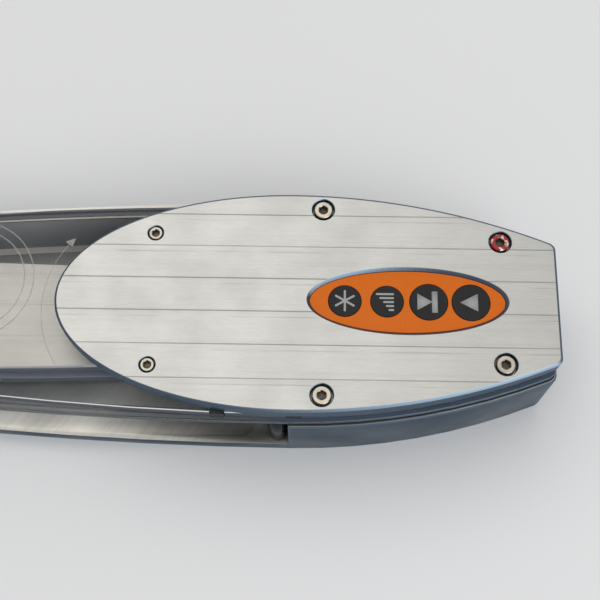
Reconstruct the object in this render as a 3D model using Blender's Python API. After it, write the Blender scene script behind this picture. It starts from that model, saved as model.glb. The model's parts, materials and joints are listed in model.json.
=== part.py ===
"""Swing-arm star-tracking mount with a built-in four-key hand controller at its wide end.

The hull is a long leaf-shaped tray: a rounded pivot end at -X and a blunt nose at +X. A clear
deck closes it, an aluminium cover with the keypad sits on the deck at the nose, and a tapered
arm turns about the pivot and swings out through the open front of the hull.
All sizes are in millimetres and become metres when a mesh is made. +Z is up, -Y is the front.
"""

import math

import bmesh
import bpy

MM = 0.001
GAP = 0.3

# Plan of the hull
LENGTH = 380.0
HALF_WIDTH = 42.0
NOSE_RUN = 93.0
NOSE_RADIUS = 243.0
END_RADIUS = 17.4
CORNER_RADIUS = 3.0
WALL = 4.3

# Levels of the stack, from the table up
FLOOR = 8.0
HULL_TOP = 33.0
GASKET = 0.7
LOWER_SHEET = 2.7
UPPER_SHEET = 4.7
COVER = 5.7
BOTTOM_CHAMFER = 1.5
TOP_CHAMFER = 0.5

# How far each layer's edge stands inside the hull's
GASKET_INSET = 0.8
LOWER_SHEET_INSET = 1.2
UPPER_SHEET_INSET = 2.7
UPPER_SHEET_EXTRA = 2.6
UPPER_SHEET_CHAMFER = 0.3
SHEET_TAPER_RUN = 170.0
COVER_INSET = 2.0
COVER_END_INSET = 1.0
COVER_LEFT_RUN = 82.4
COVER_CHAMFER = 0.8

# Front window, the tray floor and the post that props the deck
WINDOW_END_BEHIND_PIVOT = 5.0
WINDOW_FROM_EDGE = 93.0
RIM_WIDTH = 2.2
TRAY_DEPTH = 1.5
TRAY_END = 105.0
TRAY_CORNER = 6.0
TRAY_REAR = 24.0
TRAY_START = 76.0
POST_RADIUS = 3.3
POST_BACK = 97.0
POST_FROM_EDGE = 4.5
POST_CHAMFER = 0.4
EDGE_PAD_WIDTH = 4.5
EDGE_PAD_DEPTH = 3.0
EDGE_PAD_BACKS = (117.0, 90.9)
EDGE_PAD_FROM_EDGE = 2.5

# Screws: radii of shank, head and counterbore, head height, hex size across flats, length of shank
BIG_SCREW = dict(shank=2.0, head=3.5, sink=4.0, tall=3.9, flats=3.0, length=20.0)
SMALL_SCREW = dict(shank=1.5, head=2.6, sink=2.9, tall=2.9, flats=2.5, length=7.5)
BOARD_SCREW = dict(shank=1.2, head=2.2, sink=2.5, tall=1.8, flats=1.5, length=5.5)
DECK_SCREW = dict(SMALL_SCREW, length=18.0)
HEX_SHARE = 0.55
HEAD_BELOW_TOP = 0.1
HEAD_CHAMFER = 0.3
# Places of the cover screws: how far back from the cover's end, how far in from the widest edge
BIG_PLACES = {"left": (81.6, 8.0), "right": (19.4, 19.6)}
BIG_HOLE_DEPTH = 18.0
SMALL_BACK = 140.7
SMALL_SIDE = 24.2
PILLAR_RADIUS = 5.5
DECK_SCREW_PLACE = (-40.0, 26.6)
DECK_HOLE_DEPTH = 14.0
DECK_PILLAR_RADIUS = 5.3

# Keypad
PAD_CENTRE_BACK = 52.2
PAD_HALF_LENGTH = 34.65
PAD_HALF_WIDTH = 12.15
PAD_BEVEL = 0.7
PAD_LEDGE = 1.3
OVERLAY_SINK = 1.2
OVERLAY = 1.0
KEY_PROUD = 0.3
KEY_FLANGE = 0.9
KEY_LIP = 0.5
KEY_TRAVEL = 0.4
KEY_CHAMFER = 0.3
KEY_RADII = {"settings": 5.7, "menu": 5.7, "forward": 6.6, "back": 6.6}
KEY_PITCH = 14.6
KEY_FROM_PAD_END = 12.85
KEY_ROW_SHIFT = 0.1
SWITCH_SIDE = 6.0
SWITCH_DOME_RADIUS = 1.7
SWITCH_DOME = 0.5
SWITCH_PLAY = 0.1
KEY_BOARD = 1.0
KEY_BOARD_EDGE = 2.0
BOARD_CORNER = 2.0
DECK_CUTOUT_EDGE = 1.2

# Control board and what stands on it
BOARD_BACKS = (9.5, 75.0)
BOARD_HALF_WIDTH = 16.0
BOARD = 1.6
BOARD_HEIGHT = 5.0
BOARD_POST_RADIUS = 3.0
BOARD_POST_BACKS = (26.0, 71.0)
BOARD_POST_SIDE = 12.5
SOUNDER_RADIUS = 5.0
SOUNDER_HEIGHT = 5.0
SOUNDER_PLACE = (44.0, 7.0)
SOUNDER_VENT = 1.0
HEADER = (4.0, 14.0, 5.0)
HEADER_BACK = 66.0
RIBBON_WIDTH = 12.0
RIBBON = 0.6
RIBBON_BOW = 4.0
POWER_SIDE = -9.0
POWER_BODY = (13.0, 10.0, 11.0)
POWER_NOZZLE = 4.6
POWER_BORE = 2.9
POWER_BORE_DEPTH = 7.0
POWER_PIN = 1.0
GUIDE_SIDE = 6.5
GUIDE_BODY = (15.0, 13.0, 12.5)
GUIDE_MOUTH = (9.8, 7.4)
GUIDE_MOUTH_DEPTH = 10.0
GUIDE_MOUTH_LIFT = 3.5
GUIDE_LATCH = 2.0

# Arm
ARM_BOTTOM = 9.0
ARM_HEIGHT = 19.0
ARM_HALF_WIDTH = 20.6
ARM_WIDEST_X = -28.0
ARM_BOSS = 12.0
ARM_TIP_RADIUS = 262.5
ARM_EDGE = 0.5
ARM_LOWER_FLANGE = 6.0
ARM_UPPER_FLANGE = 5.5
ARM_GROOVE = 3.5
LID = 1.9
LID_EDGE = 2.2
LID_REACH = 20.0
LID_SCREW_REACH = 13.5
LID_SCREW_SIDE = 5.5
LID_HOLE_DEPTH = 9.0

# Pivot, drive and head
SHAFT_RADIUS = 4.7
SHAFT_FOOT = 1.5
BUSH = 1.7
BUSH_FLANGE = 0.9
BUSH_FLANGE_LIP = 1.8
DRUM_RADIUS = 9.6
DRUM_HEIGHT = 3.6
ROLLER_RADIUS = 7.0
ROLLER_HEIGHT = 2.6
ROLLER_SHAFT = 1.5
ROLLER_SHAFT_REACH = 2.0
RECESS_DEPTH = 3.2
POCKET_FLOOR = 1.2
MOTOR_RADIUS = 9.0
GEARBOX = 4.0
MOTOR_UNDER_LID = 0.4
MOTOR_CHAMFER = 0.6
CAP_REACH = 36.0
CAP_SCREW_REACH = 27.0
CAP_SCREW_SIDE = 8.0
PLATFORM_RADIUS = 17.0
PLATFORM = 6.0
PLATFORM_CHAMFER = 1.0
PLATFORM_PAD = 1.0
STUD_RADIUS = 4.7
STUD_HEIGHT = 9.0
STUD_SEAT = 3.5
STUD_CHAMFER = 0.8
INSERT_RADIUS = 8.0
INSERT_BORE = 4.3
INSERT_X = 20.0

# Where things come out
NOSE_X = LENGTH / 2
END_X = END_RADIUS - LENGTH / 2
COVER_X = NOSE_X - COVER_END_INSET
WIDEST_X = COVER_X - NOSE_RUN + COVER_END_INSET
GASKET_Z = HULL_TOP + GAP
LOWER_SHEET_Z = GASKET_Z + GASKET + GAP
UPPER_SHEET_Z = LOWER_SHEET_Z + LOWER_SHEET + GAP
COVER_Z = UPPER_SHEET_Z + UPPER_SHEET + GAP
TOP_Z = COVER_Z + COVER
ARM_TOP = ARM_BOTTOM + ARM_HEIGHT
OVERLAY_Z = TOP_Z - OVERLAY_SINK - OVERLAY
LEDGE_Z = OVERLAY_Z - GAP
KEY_Z = LEDGE_Z - KEY_FLANGE
KEY_BOARD_Z = COVER_Z - GAP - KEY_BOARD
DOME_Z = KEY_Z - KEY_TRAVEL - SWITCH_PLAY
BOARD_Z = FLOOR + BOARD_HEIGHT + GAP
BOARD_TOP = BOARD_Z + BOARD
RECESS_Z = ARM_BOTTOM + RECESS_DEPTH
POCKET_Z = RECESS_Z + POCKET_FLOOR
LID_Z = ARM_TOP - LID - GAP
MOTOR_Z = POCKET_Z + GAP + GEARBOX + GAP
MOTOR = LID_Z - MOTOR_UNDER_LID - MOTOR_Z
ROLLER_X = END_X + DRUM_RADIUS + ROLLER_RADIUS + GAP
PAD_X = COVER_X - PAD_CENTRE_BACK
DECK_TOP = UPPER_SHEET_Z + UPPER_SHEET + GAP

ARC = {"nose": 8, "flank": 10, "end": 6, "fillet": 2}
SIDES = 16
MORE_SIDES = 24


# ---------------------------------------------------------------- plan shapes

def arc(cx, cy, radius, start, stop, steps):
    """Points on a circle from one angle to another, in radians, both ends included."""
    turns = [start + (stop - start) * i / steps for i in range(steps + 1)]
    return [(cx + radius * math.cos(t), cy + radius * math.sin(t)) for t in turns]


def circle(cx, cy, radius, sides=SIDES):
    return arc(cx, cy, radius, 0, 2 * math.pi, sides)[:-1]


def ellipse(cx, half_length, half_width, sides=2 * SIDES):
    return [(cx + half_length * x, half_width * y) for x, y in circle(0, 0, 1, sides)]


def hexagon(cx, cy, flats, sides=12):
    """A hexagon with the same number of points as a circle, so that one can be skinned to the other."""
    points = []
    for x, y in circle(0, 0, 1, sides):
        turn = math.atan2(y, x)
        from_flat = (turn + math.pi / 6) % (math.pi / 3) - math.pi / 6
        reach = flats / 2 / math.cos(from_flat)
        points.append((cx + reach * x, cy + reach * y))
    return points


def rectangle(x0, x1, y0, y1):
    return [(x0, y0), (x1, y0), (x1, y1), (x0, y1)]


def rounded(x0, x1, y0, y1, radius, steps=4):
    points = []
    quarter = math.pi / 2
    corners = [(x1 - radius, y1 - radius), (x0 + radius, y1 - radius)]
    corners += [(x0 + radius, y0 + radius), (x1 - radius, y0 + radius)]
    for i, (cx, cy) in enumerate(corners):
        points += arc(cx, cy, radius, i * quarter, (i + 1) * quarter, steps)
    return points


def mirrored(upper):
    """A closed loop from its upper half, whose last point lies on the X axis."""
    return upper + [(x, -y) for x, y in reversed(upper[:-1])]


def flank_radius(run, half_width, end_radius):
    """Radius of the arc that is level at half_width and runs tangent into a circle a run away."""
    return (run**2 + half_width**2 - end_radius**2) / (2 * (half_width - end_radius))


def nose_half(inset, end_inset):
    """Upper half of the blunt nose: the corner fillet, then the arc back to the widest point."""
    centre_y = HALF_WIDTH - NOSE_RADIUS
    radius = NOSE_RADIUS - inset
    corner_x = NOSE_X - end_inset - CORNER_RADIUS
    rise = math.sqrt((radius - CORNER_RADIUS) ** 2 - (corner_x - WIDEST_X) ** 2)
    turn = math.atan2(rise, corner_x - WIDEST_X)
    fillet = arc(corner_x, centre_y + rise, CORNER_RADIUS, 0, turn, ARC["fillet"])
    return fillet[:-1] + arc(WIDEST_X, centre_y, radius, turn, math.pi / 2, ARC["nose"])


def hull_outline(inset=0.0, taper=0.0, end_inset=None):
    """The hull's plan moved inwards by inset, and by taper more where the flanks narrow."""
    run = WIDEST_X - END_X
    radius = flank_radius(run, HALF_WIDTH, END_RADIUS)
    centre_y = HALF_WIDTH - radius
    tangent = math.atan2(-centre_y, -run)
    flank = []
    for i in range(1, ARC["flank"] + 1):
        turn = math.pi / 2 + (tangent - math.pi / 2) * i / ARC["flank"]
        back = min(1.0, -radius * math.cos(turn) / SHEET_TAPER_RUN)
        reach = radius - inset - taper * (1 - math.cos(math.pi * back)) / 2
        flank.append((WIDEST_X + reach * math.cos(turn), centre_y + reach * math.sin(turn)))
    end = arc(END_X, 0, END_RADIUS - inset - taper, tangent, math.pi, ARC["end"])[1:]
    end[-1] = (end[-1][0], 0.0)
    return mirrored(nose_half(inset, inset if end_inset is None else end_inset) + flank + end)


def cover_outline(inset=0.0):
    """A half ellipse on the left and the hull's nose on the right."""
    half_width = HALF_WIDTH - COVER_INSET - inset
    left = []
    steps = 12
    for i in range(1, steps + 1):
        turn = math.pi / 2 * (1 + i / steps)
        x = WIDEST_X + (COVER_LEFT_RUN - inset) * math.cos(turn)
        left.append((x, half_width * math.sin(turn)))
    left[-1] = (left[-1][0], 0.0)
    return mirrored(nose_half(COVER_INSET + inset, COVER_END_INSET + inset) + left)


def arm_outline(inset=0.0):
    """Two shallow arcs between the round boss at the pivot and the arc of the tip."""
    run = ARM_WIDEST_X - END_X
    radius = flank_radius(run, ARM_HALF_WIDTH, ARM_BOSS)
    centre_y = ARM_HALF_WIDTH - radius
    tangent = math.atan2(-centre_y, -run)
    tip = ARM_TIP_RADIUS - inset
    flank = radius - inset
    across = math.hypot(run, centre_y)
    bend = math.acos((tip**2 + across**2 - flank**2) / (2 * tip * across))
    corner = math.atan2(centre_y, run) + bend
    start = math.atan2(tip * math.sin(corner) - centre_y, tip * math.cos(corner) - run)
    upper = arc(END_X, 0, tip, 0, corner, 5)[1:-1]
    upper += arc(ARM_WIDEST_X, centre_y, flank, start, tangent, ARC["flank"])[:-1]
    upper += arc(END_X, 0, ARM_BOSS - inset, tangent, math.pi, ARC["end"])
    upper[-1] = (upper[-1][0], 0.0)
    return mirrored(upper) + [(END_X + tip, 0.0)]


# ---------------------------------------------------------------- solids

def skin(mesh, levels):
    """One closed body from loops of equally many points, each a (points, z) pair, bottom first.
    A loop of whole (x, y, z) points has None for its z."""
    loops = []
    for points, z in levels:
        whole = points if z is None else [(x, y, z) for x, y in points]
        loops.append([mesh.verts.new([value * MM for value in point]) for point in whole])
    mesh.faces.new(list(reversed(loops[0])))
    mesh.faces.new(loops[-1])
    for low, high in zip(loops, loops[1:]):
        for i in range(len(low)):
            j = (i + 1) % len(low)
            mesh.faces.new((low[i], low[j], high[j], high[i]))


def material(name, colour, roughness, metallic=0.0, clear=0.0):
    found = bpy.data.materials.get(name)
    if found:
        return found
    made = bpy.data.materials.new(name)
    made.use_nodes = True
    shader = made.node_tree.nodes["Principled BSDF"]
    shader.inputs["Base Color"].default_value = (*colour, 1.0)
    shader.inputs["Roughness"].default_value = roughness
    shader.inputs["Metallic"].default_value = metallic
    shader.inputs["Transmission Weight"].default_value = clear
    return made


def solid(name, bodies, finish=None, origin=(0.0, 0.0, 0.0)):
    """An object from one or more skinned bodies, with its origin at a given place in mm."""
    mesh = bmesh.new()
    for levels in bodies:
        skin(mesh, levels)
    place = [value * MM for value in origin]
    bmesh.ops.translate(mesh, vec=[-value for value in place], verts=mesh.verts)
    data = bpy.data.meshes.new(name)
    mesh.to_mesh(data)
    mesh.free()
    data.shade_smooth()
    data.set_sharp_from_angle(angle=math.radians(32))
    made = bpy.data.objects.new(name, data)
    made.location = place
    bpy.context.scene.collection.objects.link(made)
    if finish:
        data.materials.append(material(*finish))
    return made


def boolean(target, name, bodies, operation="DIFFERENCE"):
    """Cuts bodies from a target, or keeps what lies inside them. Returns the hidden tool."""
    tool = solid(name, bodies)
    tool.hide_render = True
    tool.display_type = "WIRE"
    change = target.modifiers.new(name, "BOOLEAN")
    change.operation = operation
    change.solver = "EXACT"
    change.object = tool
    return tool


def prism(points, low, high):
    return [(points, low), (points, high)]


def pin(x, y, radius, low, high, sides=SIDES):
    return prism(circle(x, y, radius, sides), low, high)


def turned(x, y, profile, sides=SIDES):
    return [(circle(x, y, radius, sides), z) for radius, z in profile]


def along_x(points, y, z, *places):
    """Levels of a body drawn along X: the same (y, z) loop at each place."""
    return [([(x, y + u, z + v) for u, v in points], None) for x in places]


def ring(name, x, radii, low, high, finish, sides=MORE_SIDES):
    """A plain ring on the middle plane, from its outer and inner radii."""
    outer, inner = radii
    made = solid(name, [pin(x, 0, outer, low, high, sides)], finish, (x, 0, low))
    boolean(made, name + "_bore_tool", [pin(x, 0, inner, low - 1, high + 1, sides)])
    return made


ALUMINIUM = ("milled_aluminium", (0.60, 0.59, 0.56), 0.38, 1.0)
ANODISED = ("blue_grey_anodised", (0.10, 0.14, 0.20), 0.42, 0.8)
ACRYLIC = ("clear_acrylic", (0.85, 0.88, 0.88), 0.08, 0.0, 0.95)
STEEL = ("screw_steel", (0.42, 0.38, 0.33), 0.3, 1.0)
RED = ("red_screw", (0.55, 0.05, 0.04), 0.4, 0.3)
RUBBER = ("black_rubber", (0.02, 0.02, 0.02), 0.7)
ORANGE = ("orange_film", (0.58, 0.13, 0.02), 0.45)
BLACK = ("black_plastic", (0.03, 0.03, 0.03), 0.45)
GREEN = ("green_board", (0.02, 0.12, 0.05), 0.5)
BRONZE = ("bearing_bronze", (0.45, 0.25, 0.10), 0.35, 1.0)
BRASS = ("brass", (0.60, 0.42, 0.15), 0.35, 1.0)


def screw_places():
    """Name, x, y of the four large cover screws."""
    for side, sign in (("front", -1), ("rear", 1)):
        for end, (back, edge) in BIG_PLACES.items():
            yield f"cover_screw_{side}_{end}", COVER_X - back, sign * (HALF_WIDTH - edge)


def small_places():
    for side, sign in (("front", -1), ("rear", 1)):
        yield f"cover_screw_{side}_small", COVER_X - SMALL_BACK, sign * SMALL_SIDE


def cap_screw_places():
    for side, sign in (("front", -1), ("rear", 1)):
        yield f"cap_screw_{side}", END_X + CAP_SCREW_REACH, sign * CAP_SCREW_SIDE


def lid_screw_places():
    for side, sign in (("front", -1), ("rear", 1)):
        yield f"lid_screw_{side}", ROLLER_X + LID_SCREW_REACH, sign * LID_SCREW_SIDE


def board_screw_places():
    for end, back in zip(("right", "left"), BOARD_POST_BACKS):
        for side, sign in (("front", -1), ("rear", 1)):
            yield f"board_screw_{side}_{end}", COVER_X - back, sign * BOARD_POST_SIDE


def key_places():
    """Name, x and radius of the four keys. The outer two keep their distance from the pad's ends."""
    outer = PAD_HALF_LENGTH - KEY_FROM_PAD_END
    reaches = (-outer, KEY_PITCH - outer, outer - KEY_PITCH, outer)
    for (key, radius), reach in zip(KEY_RADII.items(), reaches):
        yield key, PAD_X + KEY_ROW_SHIFT + reach, radius


def make_screw(name, x, y, top, kind, finish=STEEL):
    """A socket-head cap screw whose head ends at a given height."""
    under = top - kind["tall"]
    deep = top - HEX_SHARE * kind["tall"]
    tip = under - kind["length"]
    shank, head = kind["shank"], kind["head"]
    profile = [(0.75 * shank, tip), (shank, tip + 0.5), (shank, under)]
    profile += [(head, under), (head, top - HEAD_CHAMFER), (head - HEAD_CHAMFER, top)]
    levels = turned(x, y, profile, 12)
    levels.append((hexagon(x, y, kind["flats"]), top))
    levels.append((hexagon(x, y, kind["flats"]), deep))
    return solid(name, [levels], finish)


# ---------------------------------------------------------------- housing

def window_body():
    left = END_X - WINDOW_END_BEHIND_PIVOT
    right = COVER_X - WINDOW_FROM_EDGE
    front = -HALF_WIDTH - 10
    return prism(rectangle(left, right, front, -END_RADIUS / 3), FLOOR, COVER_Z)


def make_hull():
    levels = [
        (hull_outline(BOTTOM_CHAMFER), 0.0),
        (hull_outline(), BOTTOM_CHAMFER),
        (hull_outline(), HULL_TOP - TOP_CHAMFER),
        (hull_outline(TOP_CHAMFER), HULL_TOP),
    ]
    hull = solid("hull_shell", [levels], ANODISED)
    cavity = boolean(hull, "cavity_tool", [prism(hull_outline(WALL), FLOOR, TOP_Z)])
    kept = [pin(x, y, PILLAR_RADIUS, FLOOR - 2, TOP_Z + 2) for _, x, y in screw_places()]
    kept.append(pin(*DECK_SCREW_PLACE, DECK_PILLAR_RADIUS, FLOOR - 2, TOP_Z + 2))
    post_top = FLOOR + BOARD_HEIGHT
    for _, x, y in board_screw_places():
        kept.append(pin(x, y, BOARD_POST_RADIUS, FLOOR - 2, post_top))
    boolean(cavity, "pillar_tool", kept)
    boolean(hull, "window_tool", [window_body()])
    tray = boolean(hull, "tray_tool", [prism(hull_outline(RIM_WIDTH), FLOOR - TRAY_DEPTH, FLOOR + 1)])
    limits = rounded(END_X + TRAY_START, COVER_X - TRAY_END, tray_front(), TRAY_REAR, TRAY_CORNER)
    boolean(tray, "tray_limit_tool", [prism(limits, 1, HULL_TOP)], "INTERSECT")
    holes = []
    for _, x, y in screw_places():
        holes.append(pin(x, y, BIG_SCREW["shank"] + GAP, HULL_TOP - BIG_HOLE_DEPTH, HULL_TOP + 2))
    holes.append(pin(*DECK_SCREW_PLACE, SMALL_SCREW["shank"] + GAP, HULL_TOP - DECK_HOLE_DEPTH, HULL_TOP + 2))
    for _, x, y in board_screw_places():
        holes.append(pin(x, y, BOARD_SCREW["shank"] + GAP, FLOOR + 0.5, FLOOR + BOARD_HEIGHT + 1, 12))
    holes.append(pin(INSERT_X, 0, INSERT_RADIUS + GAP, -1, FLOOR + 1, MORE_SIDES))
    holes.append(pin(END_X, 0, SHAFT_RADIUS + GAP + BUSH + GAP, -1, FLOOR + 1, MORE_SIDES))
    boolean(hull, "hull_hole_tool", holes)
    boolean(hull, "socket_tool", socket_cuts())
    return hull


def tray_front():
    """Front edge of the tray where its right-hand corner is rounded."""
    radius = NOSE_RADIUS
    run = WIDEST_X - (COVER_X - TRAY_END)
    return -(HALF_WIDTH - RIM_WIDTH) + run**2 / (2 * radius) + 0.2


def socket_cuts():
    """Mouths of the two sockets through the end wall."""
    x0 = NOSE_X - WALL - 2
    x1 = NOSE_X + 2
    low = BOARD_TOP + GAP
    power = along_x(circle(0, 0, POWER_NOZZLE + GAP, 20), POWER_SIDE, low + POWER_BODY[2] / 2, x0, x1)
    half = GUIDE_BODY[1] / 2 + GAP
    plan = rectangle(x0, x1, GUIDE_SIDE - half, GUIDE_SIDE + half)
    return [power, prism(plan, low - GAP, low + GUIDE_BODY[2] + GAP)]


def make_gasket():
    outer = hull_outline(GASKET_INSET)
    gasket = solid("hull_gasket", [prism(outer, GASKET_Z, GASKET_Z + GASKET)], RUBBER)
    inner = prism(hull_outline(WALL), GASKET_Z - 1, GASKET_Z + GASKET + 1)
    boolean(gasket, "gasket_inner_tool", [inner])
    boolean(gasket, "gasket_window_tool", [window_body()])


def deck_holes(low, high):
    """What passes through both clear sheets."""
    half_x = PAD_HALF_LENGTH - PAD_LEDGE + KEY_BOARD_EDGE + DECK_CUTOUT_EDGE
    half_y = PAD_HALF_WIDTH - PAD_LEDGE + KEY_BOARD_EDGE + DECK_CUTOUT_EDGE
    cuts = [prism(rounded(PAD_X - half_x, PAD_X + half_x, -half_y, half_y, BOARD_CORNER), low, high)]
    for _, x, y in screw_places():
        cuts.append(pin(x, y, BIG_SCREW["shank"] + GAP, low, high))
    for _, x, y in list(small_places()) + list(cap_screw_places()):
        cuts.append(pin(x, y, SMALL_SCREW["shank"] + GAP, low, high))
    cuts.append(pin(*DECK_SCREW_PLACE, SMALL_SCREW["shank"] + GAP, low, high))
    cuts.append(pin(END_X, 0, SHAFT_RADIUS + 2 * GAP, low, high, MORE_SIDES))
    return cuts


def make_deck():
    low = LOWER_SHEET_Z
    lower = solid("deck_lower_sheet", [prism(hull_outline(LOWER_SHEET_INSET), low, low + LOWER_SHEET)], ACRYLIC)
    boolean(lower, "lower_sheet_tool", deck_holes(low - 1, low + LOWER_SHEET + 1))
    low = UPPER_SHEET_Z
    high = low + UPPER_SHEET
    levels = []
    chamfer = UPPER_SHEET_CHAMFER
    for z, edge in ((low, 0.0), (high - chamfer, 0.0), (high, chamfer)):
        levels.append((hull_outline(UPPER_SHEET_INSET + edge, UPPER_SHEET_EXTRA), z))
    upper = solid("deck_upper_sheet", [levels], ACRYLIC)
    cuts = deck_holes(low - 1, high + 1)
    boolean(upper, "upper_sheet_tool", cuts)
    notches = []
    front = EDGE_PAD_FROM_EDGE - HALF_WIDTH
    rear = front + EDGE_PAD_DEPTH
    half = EDGE_PAD_WIDTH / 2
    for name, back in zip(("edge_pad_left", "edge_pad_right"), EDGE_PAD_BACKS):
        x = COVER_X - back
        notch = rectangle(x - half - GAP, x + half + GAP, -HALF_WIDTH, rear + GAP)
        notches.append(prism(notch, low - 1, high + 1))
        solid(name, [prism(rectangle(x - half, x + half, front, rear), low, high - GAP)], RUBBER)
    boolean(upper, "notch_tool", notches)


def make_post():
    x = COVER_X - POST_BACK
    radius, chamfer = POST_RADIUS, POST_CHAMFER
    low = FLOOR + GAP
    high = LOWER_SHEET_Z - GAP
    profile = [(radius - chamfer, low), (radius, low + chamfer), (radius, high - chamfer), (radius - chamfer, high)]
    solid("window_post", [turned(x, POST_FROM_EDGE - HALF_WIDTH, profile)], RUBBER)


def make_cover():
    levels = [(cover_outline(), COVER_Z), (cover_outline(), TOP_Z - COVER_CHAMFER)]
    cover = solid("cover_plate", [levels + [(cover_outline(COVER_CHAMFER), TOP_Z)]], ALUMINIUM)
    ledge = ellipse(PAD_X, PAD_HALF_LENGTH - PAD_LEDGE, PAD_HALF_WIDTH - PAD_LEDGE)
    seat = ellipse(PAD_X, PAD_HALF_LENGTH, PAD_HALF_WIDTH)
    rim = ellipse(PAD_X, PAD_HALF_LENGTH + 2 * PAD_BEVEL, PAD_HALF_WIDTH + 2 * PAD_BEVEL)
    opening = [(ledge, COVER_Z - 1), (ledge, LEDGE_Z), (seat, LEDGE_Z)]
    opening += [(seat, TOP_Z - PAD_BEVEL), (rim, TOP_Z + PAD_BEVEL)]
    tools = [opening]
    for _, x, y in screw_places():
        tools.append(counterbore(x, y, BIG_SCREW, COVER_Z))
    for _, x, y in small_places():
        tools.append(counterbore(x, y, SMALL_SCREW, COVER_Z))
    boolean(cover, "cover_tool", tools)


def counterbore(x, y, kind, low):
    shank = kind["shank"] + GAP
    seat = TOP_Z - HEAD_BELOW_TOP - kind["tall"] - GAP
    return turned(x, y, [(shank, low - 1), (shank, seat), (kind["sink"], seat), (kind["sink"], TOP_Z + 1)])


def make_cover_screws():
    for name, x, y in screw_places():
        finish = RED if name == "cover_screw_rear_right" else STEEL
        make_screw(name, x, y, TOP_Z - HEAD_BELOW_TOP, BIG_SCREW, finish)
    for name, x, y in small_places():
        make_screw(name, x, y, TOP_Z - HEAD_BELOW_TOP, SMALL_SCREW)
    make_screw("deck_screw", *DECK_SCREW_PLACE, DECK_TOP + DECK_SCREW["tall"], DECK_SCREW)


# ---------------------------------------------------------------- keypad and electronics

def make_keypad():
    plan = ellipse(PAD_X, PAD_HALF_LENGTH - GAP, PAD_HALF_WIDTH - GAP)
    overlay = solid("keypad_overlay", [prism(plan, OVERLAY_Z, OVERLAY_Z + OVERLAY)], ORANGE)
    holes = []
    for _, x, radius in key_places():
        holes.append(pin(x, 0, radius + GAP, OVERLAY_Z - 1, TOP_Z, MORE_SIDES))
    boolean(overlay, "overlay_tool", holes)
    top = OVERLAY_Z + OVERLAY + KEY_PROUD
    for key, x, radius in key_places():
        wide = radius + KEY_LIP
        profile = [(wide, KEY_Z), (wide, LEDGE_Z), (radius, LEDGE_Z)]
        profile += [(radius, top - KEY_CHAMFER), (radius - KEY_CHAMFER, top)]
        solid(f"key_{key}", [turned(x, 0, profile, MORE_SIDES)], BLACK, (x, 0, KEY_Z))
        half = SWITCH_SIDE / 2
        body_z = KEY_BOARD_Z + KEY_BOARD + GAP
        body = rounded(x - half, x + half, -half, half, 0.5, 3)
        dome = circle(x, 0, SWITCH_DOME_RADIUS, 16)
        body_top = DOME_Z - SWITCH_DOME
        levels = [(body, body_z), (body, body_top), (dome, body_top), (dome, DOME_Z)]
        solid(f"key_switch_{key}", [levels], BLACK)
    half_x = PAD_HALF_LENGTH - PAD_LEDGE + KEY_BOARD_EDGE
    half_y = PAD_HALF_WIDTH - PAD_LEDGE + KEY_BOARD_EDGE
    plan = rounded(PAD_X - half_x, PAD_X + half_x, -half_y, half_y, BOARD_CORNER)
    solid("keypad_board", [prism(plan, KEY_BOARD_Z, KEY_BOARD_Z + KEY_BOARD)], GREEN)


def make_electronics():
    right, left = [COVER_X - back for back in BOARD_BACKS]
    plan = rounded(left, right, -BOARD_HALF_WIDTH, BOARD_HALF_WIDTH, BOARD_CORNER)
    board = solid("control_board", [prism(plan, BOARD_Z, BOARD_TOP)], GREEN)
    holes = []
    for name, x, y in board_screw_places():
        holes.append(pin(x, y, BOARD_SCREW["shank"] + GAP, BOARD_Z - 1, BOARD_TOP + 1, 12))
        make_screw(name, x, y, BOARD_TOP + GAP + BOARD_SCREW["tall"], BOARD_SCREW)
    boolean(board, "board_tool", holes)
    low = BOARD_TOP + GAP
    x, y = COVER_X - SOUNDER_PLACE[0], SOUNDER_PLACE[1]
    profile = [(SOUNDER_RADIUS, low), (SOUNDER_RADIUS, low + SOUNDER_HEIGHT - 0.5)]
    profile += [(SOUNDER_RADIUS - 0.5, low + SOUNDER_HEIGHT)]
    sounder = solid("sounder", [turned(x, y, profile)], BLACK)
    vent = pin(x, y, SOUNDER_VENT, low + SOUNDER_HEIGHT - 1.5, low + SOUNDER_HEIGHT + 1, 12)
    boolean(sounder, "sounder_tool", [vent])
    long, wide, tall = HEADER
    x = COVER_X - HEADER_BACK
    solid("ribbon_header", [prism(rectangle(x, x + long, -wide / 2, wide / 2), low, low + tall)], BLACK)
    make_ribbon(x + long / 2, low + tall + GAP)
    make_sockets(low)


def make_ribbon(foot_x, foot_z):
    """The flat cable drops from the keypad board and bows once on its way to the header."""
    top_z = KEY_BOARD_Z - GAP
    steps = 12
    half = RIBBON_WIDTH / 2
    levels = []
    for i in range(steps + 1):
        t = i / steps
        z = foot_z + (top_z - foot_z) * t
        x = foot_x - RIBBON_BOW * math.sin(math.pi * t) ** 2
        levels.append((rectangle(x - RIBBON / 2, x + RIBBON / 2, -half, half), z))
    solid("keypad_ribbon", [levels], ("grey_ribbon", (0.45, 0.45, 0.46), 0.5))


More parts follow.
